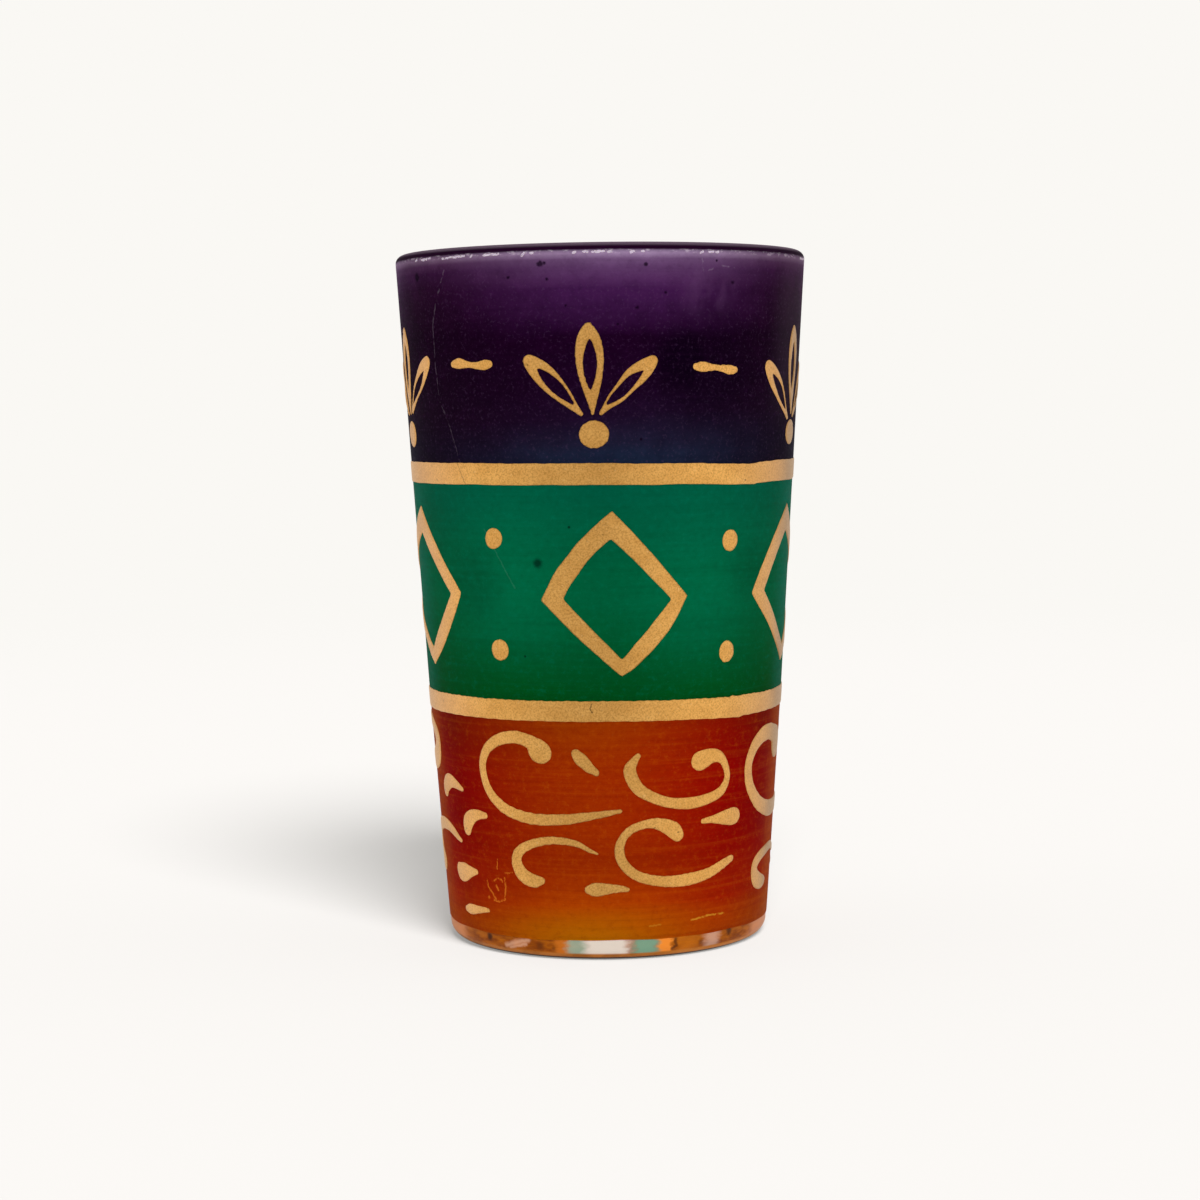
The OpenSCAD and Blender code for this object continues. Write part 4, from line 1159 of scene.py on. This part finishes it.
def floor_material():
    """Takes the shadow near the glass and turns into plain paper further off."""
    g = Graph("pale_floor")
    diffuse = g.add("BsdfDiffuse", {"Color": FLOOR_TINT})
    plain = g.add("Emission", {"Color": PAPER})
    far = g.step(g.vector("LENGTH", g.place), PLAIN_FROM, PLAIN_TO)
    share = g.math("MULTIPLY_ADD", far, 1 - PLAIN_SHARE, PLAIN_SHARE)
    return g.surface(g.blend(share, diffuse, plain))


bpy.ops.mesh.primitive_grid_add(x_subdivisions=8, y_subdivisions=8, size=FLOOR_SIZE,
                                location=(0, 0, FLOOR_Z_M))
floor = bpy.context.object
floor.name = "floor"
floor.data.materials.append(floor_material())
floor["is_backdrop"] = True

# Strength of the room's light, from the side of the camera (0) over left and right (0.5) to behind (1).
# The camera, gloss and what passes through the glass see an even white room.
SKY_LEVELS = [
    (0.01, 0.1), (0.12, 0.13), (0.24, 0.35), (0.34, 0.8), (0.43, 1.22), (0.55, 1.2), (0.7, 1.0), (0.99, 1.0)
]
# The right side of the room is the brighter one, but for a dark corner behind
RIGHT_LEVEL = 1.35
CORNER = (0.64, 0.77, 0)

world = bpy.data.worlds.new("pale_room")
bpy.context.scene.world = world
world.use_nodes = True
w = Nodes(world.node_tree)
direction = w.add("TexCoord", out="Generated")
sideways, forward, _ = w.split(direction)
level = w.ramp(w.math("MULTIPLY_ADD", forward, 0.5, 0.5), SKY_LEVELS)
level = w.times(level, w.remap(sideways, 0.1, 1.0, 1.0, RIGHT_LEVEL))
level = w.times(level, w.remap(w.vector("DOT_PRODUCT", direction, CORNER), 0.85, 1.0, 1.0, 0.0))
ray = w.add("LightPath", out=None)
seen = w.either(*[ray[f"Is {kind} Ray"] for kind in ("Camera", "Transmission", "Glossy")])
strength = w.add("Mix", {"Factor": seen, 2: level, 3: 1.0})
w.add("OutputWorld", {"Surface": w.add("Background", {"Color": PAPER, "Strength": strength})}, out=None)


def add_lamp(lamp, place, aim, lit):
    """Points a lamp and lets it light only the given things; it doesn't show in gloss."""
    thing = bpy.data.objects.new(lamp.name, lamp)
    thing.location = place
    thing.rotation_euler = (Vector(aim) - Vector(place)).to_track_quat("-Z", "Y").to_euler()
    thing.visible_glossy = False
    bpy.context.scene.collection.objects.link(thing)
    group = bpy.data.collections.new(lamp.name + "_lights")
    for part in lit:
        group.objects.link(part)
    thing.light_linking.receiver_collection = group


# The shadow's lamp, to the right of the camera and high up, and a weak one for the front of the glass
KEY_TURN = math.radians(16.8)
KEY_RISE = math.radians(46.4)
KEY_WIDTH = math.radians(31)
KEY_STRENGTH = 13.6
FILL_SIZE = 0.5
FILL_POWER = 3.4
FILL_PLACE = (0, -0.6, 0.35)

key = bpy.data.lights.new("soft_key", "SUN")
key.angle = KEY_WIDTH
key.energy = KEY_STRENGTH
add_lamp(key, (math.sin(KEY_TURN), -math.cos(KEY_TURN), math.tan(KEY_RISE)), (0, 0, 0), [floor])
fill = bpy.data.lights.new("front_fill", "AREA")
fill.size = FILL_SIZE
fill.energy = FILL_POWER
add_lamp(fill, FILL_PLACE, (0, 0, 0.045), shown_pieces())

# The camera of the photograph; its focal length is in pixels of the image
CAM_AT = Vector((0, -0.340, 0.06996))
PITCH = math.radians(4.317)
ROLL = math.radians(-0.757)
YAW = math.radians(-0.097)
FOCAL = 2553.35
IMAGE = 1200
SENSOR = 36

ahead = Vector((math.sin(YAW) * math.cos(PITCH), math.cos(YAW) * math.cos(PITCH), -math.sin(PITCH)))
level_line = ahead.cross(Vector((0, 0, 1))).normalized()
upward = level_line.cross(ahead)
right = level_line * math.cos(ROLL) + upward * math.sin(ROLL)
over = upward * math.cos(ROLL) - level_line * math.sin(ROLL)
camera_data = bpy.data.cameras.new("camera")
camera_data.sensor_width = SENSOR
camera_data.lens = FOCAL / IMAGE * SENSOR
camera_data.clip_start = 0.01
camera = bpy.data.objects.new("camera", camera_data)
rows = [(right[i], over[i], -ahead[i], CAM_AT[i]) for i in range(3)]
camera.matrix_world = Matrix((*rows, (0, 0, 0, 1)))
bpy.context.scene.collection.objects.link(camera)
bpy.context.scene.camera = camera
bpy.context.scene.view_settings.view_transform = "Standard"
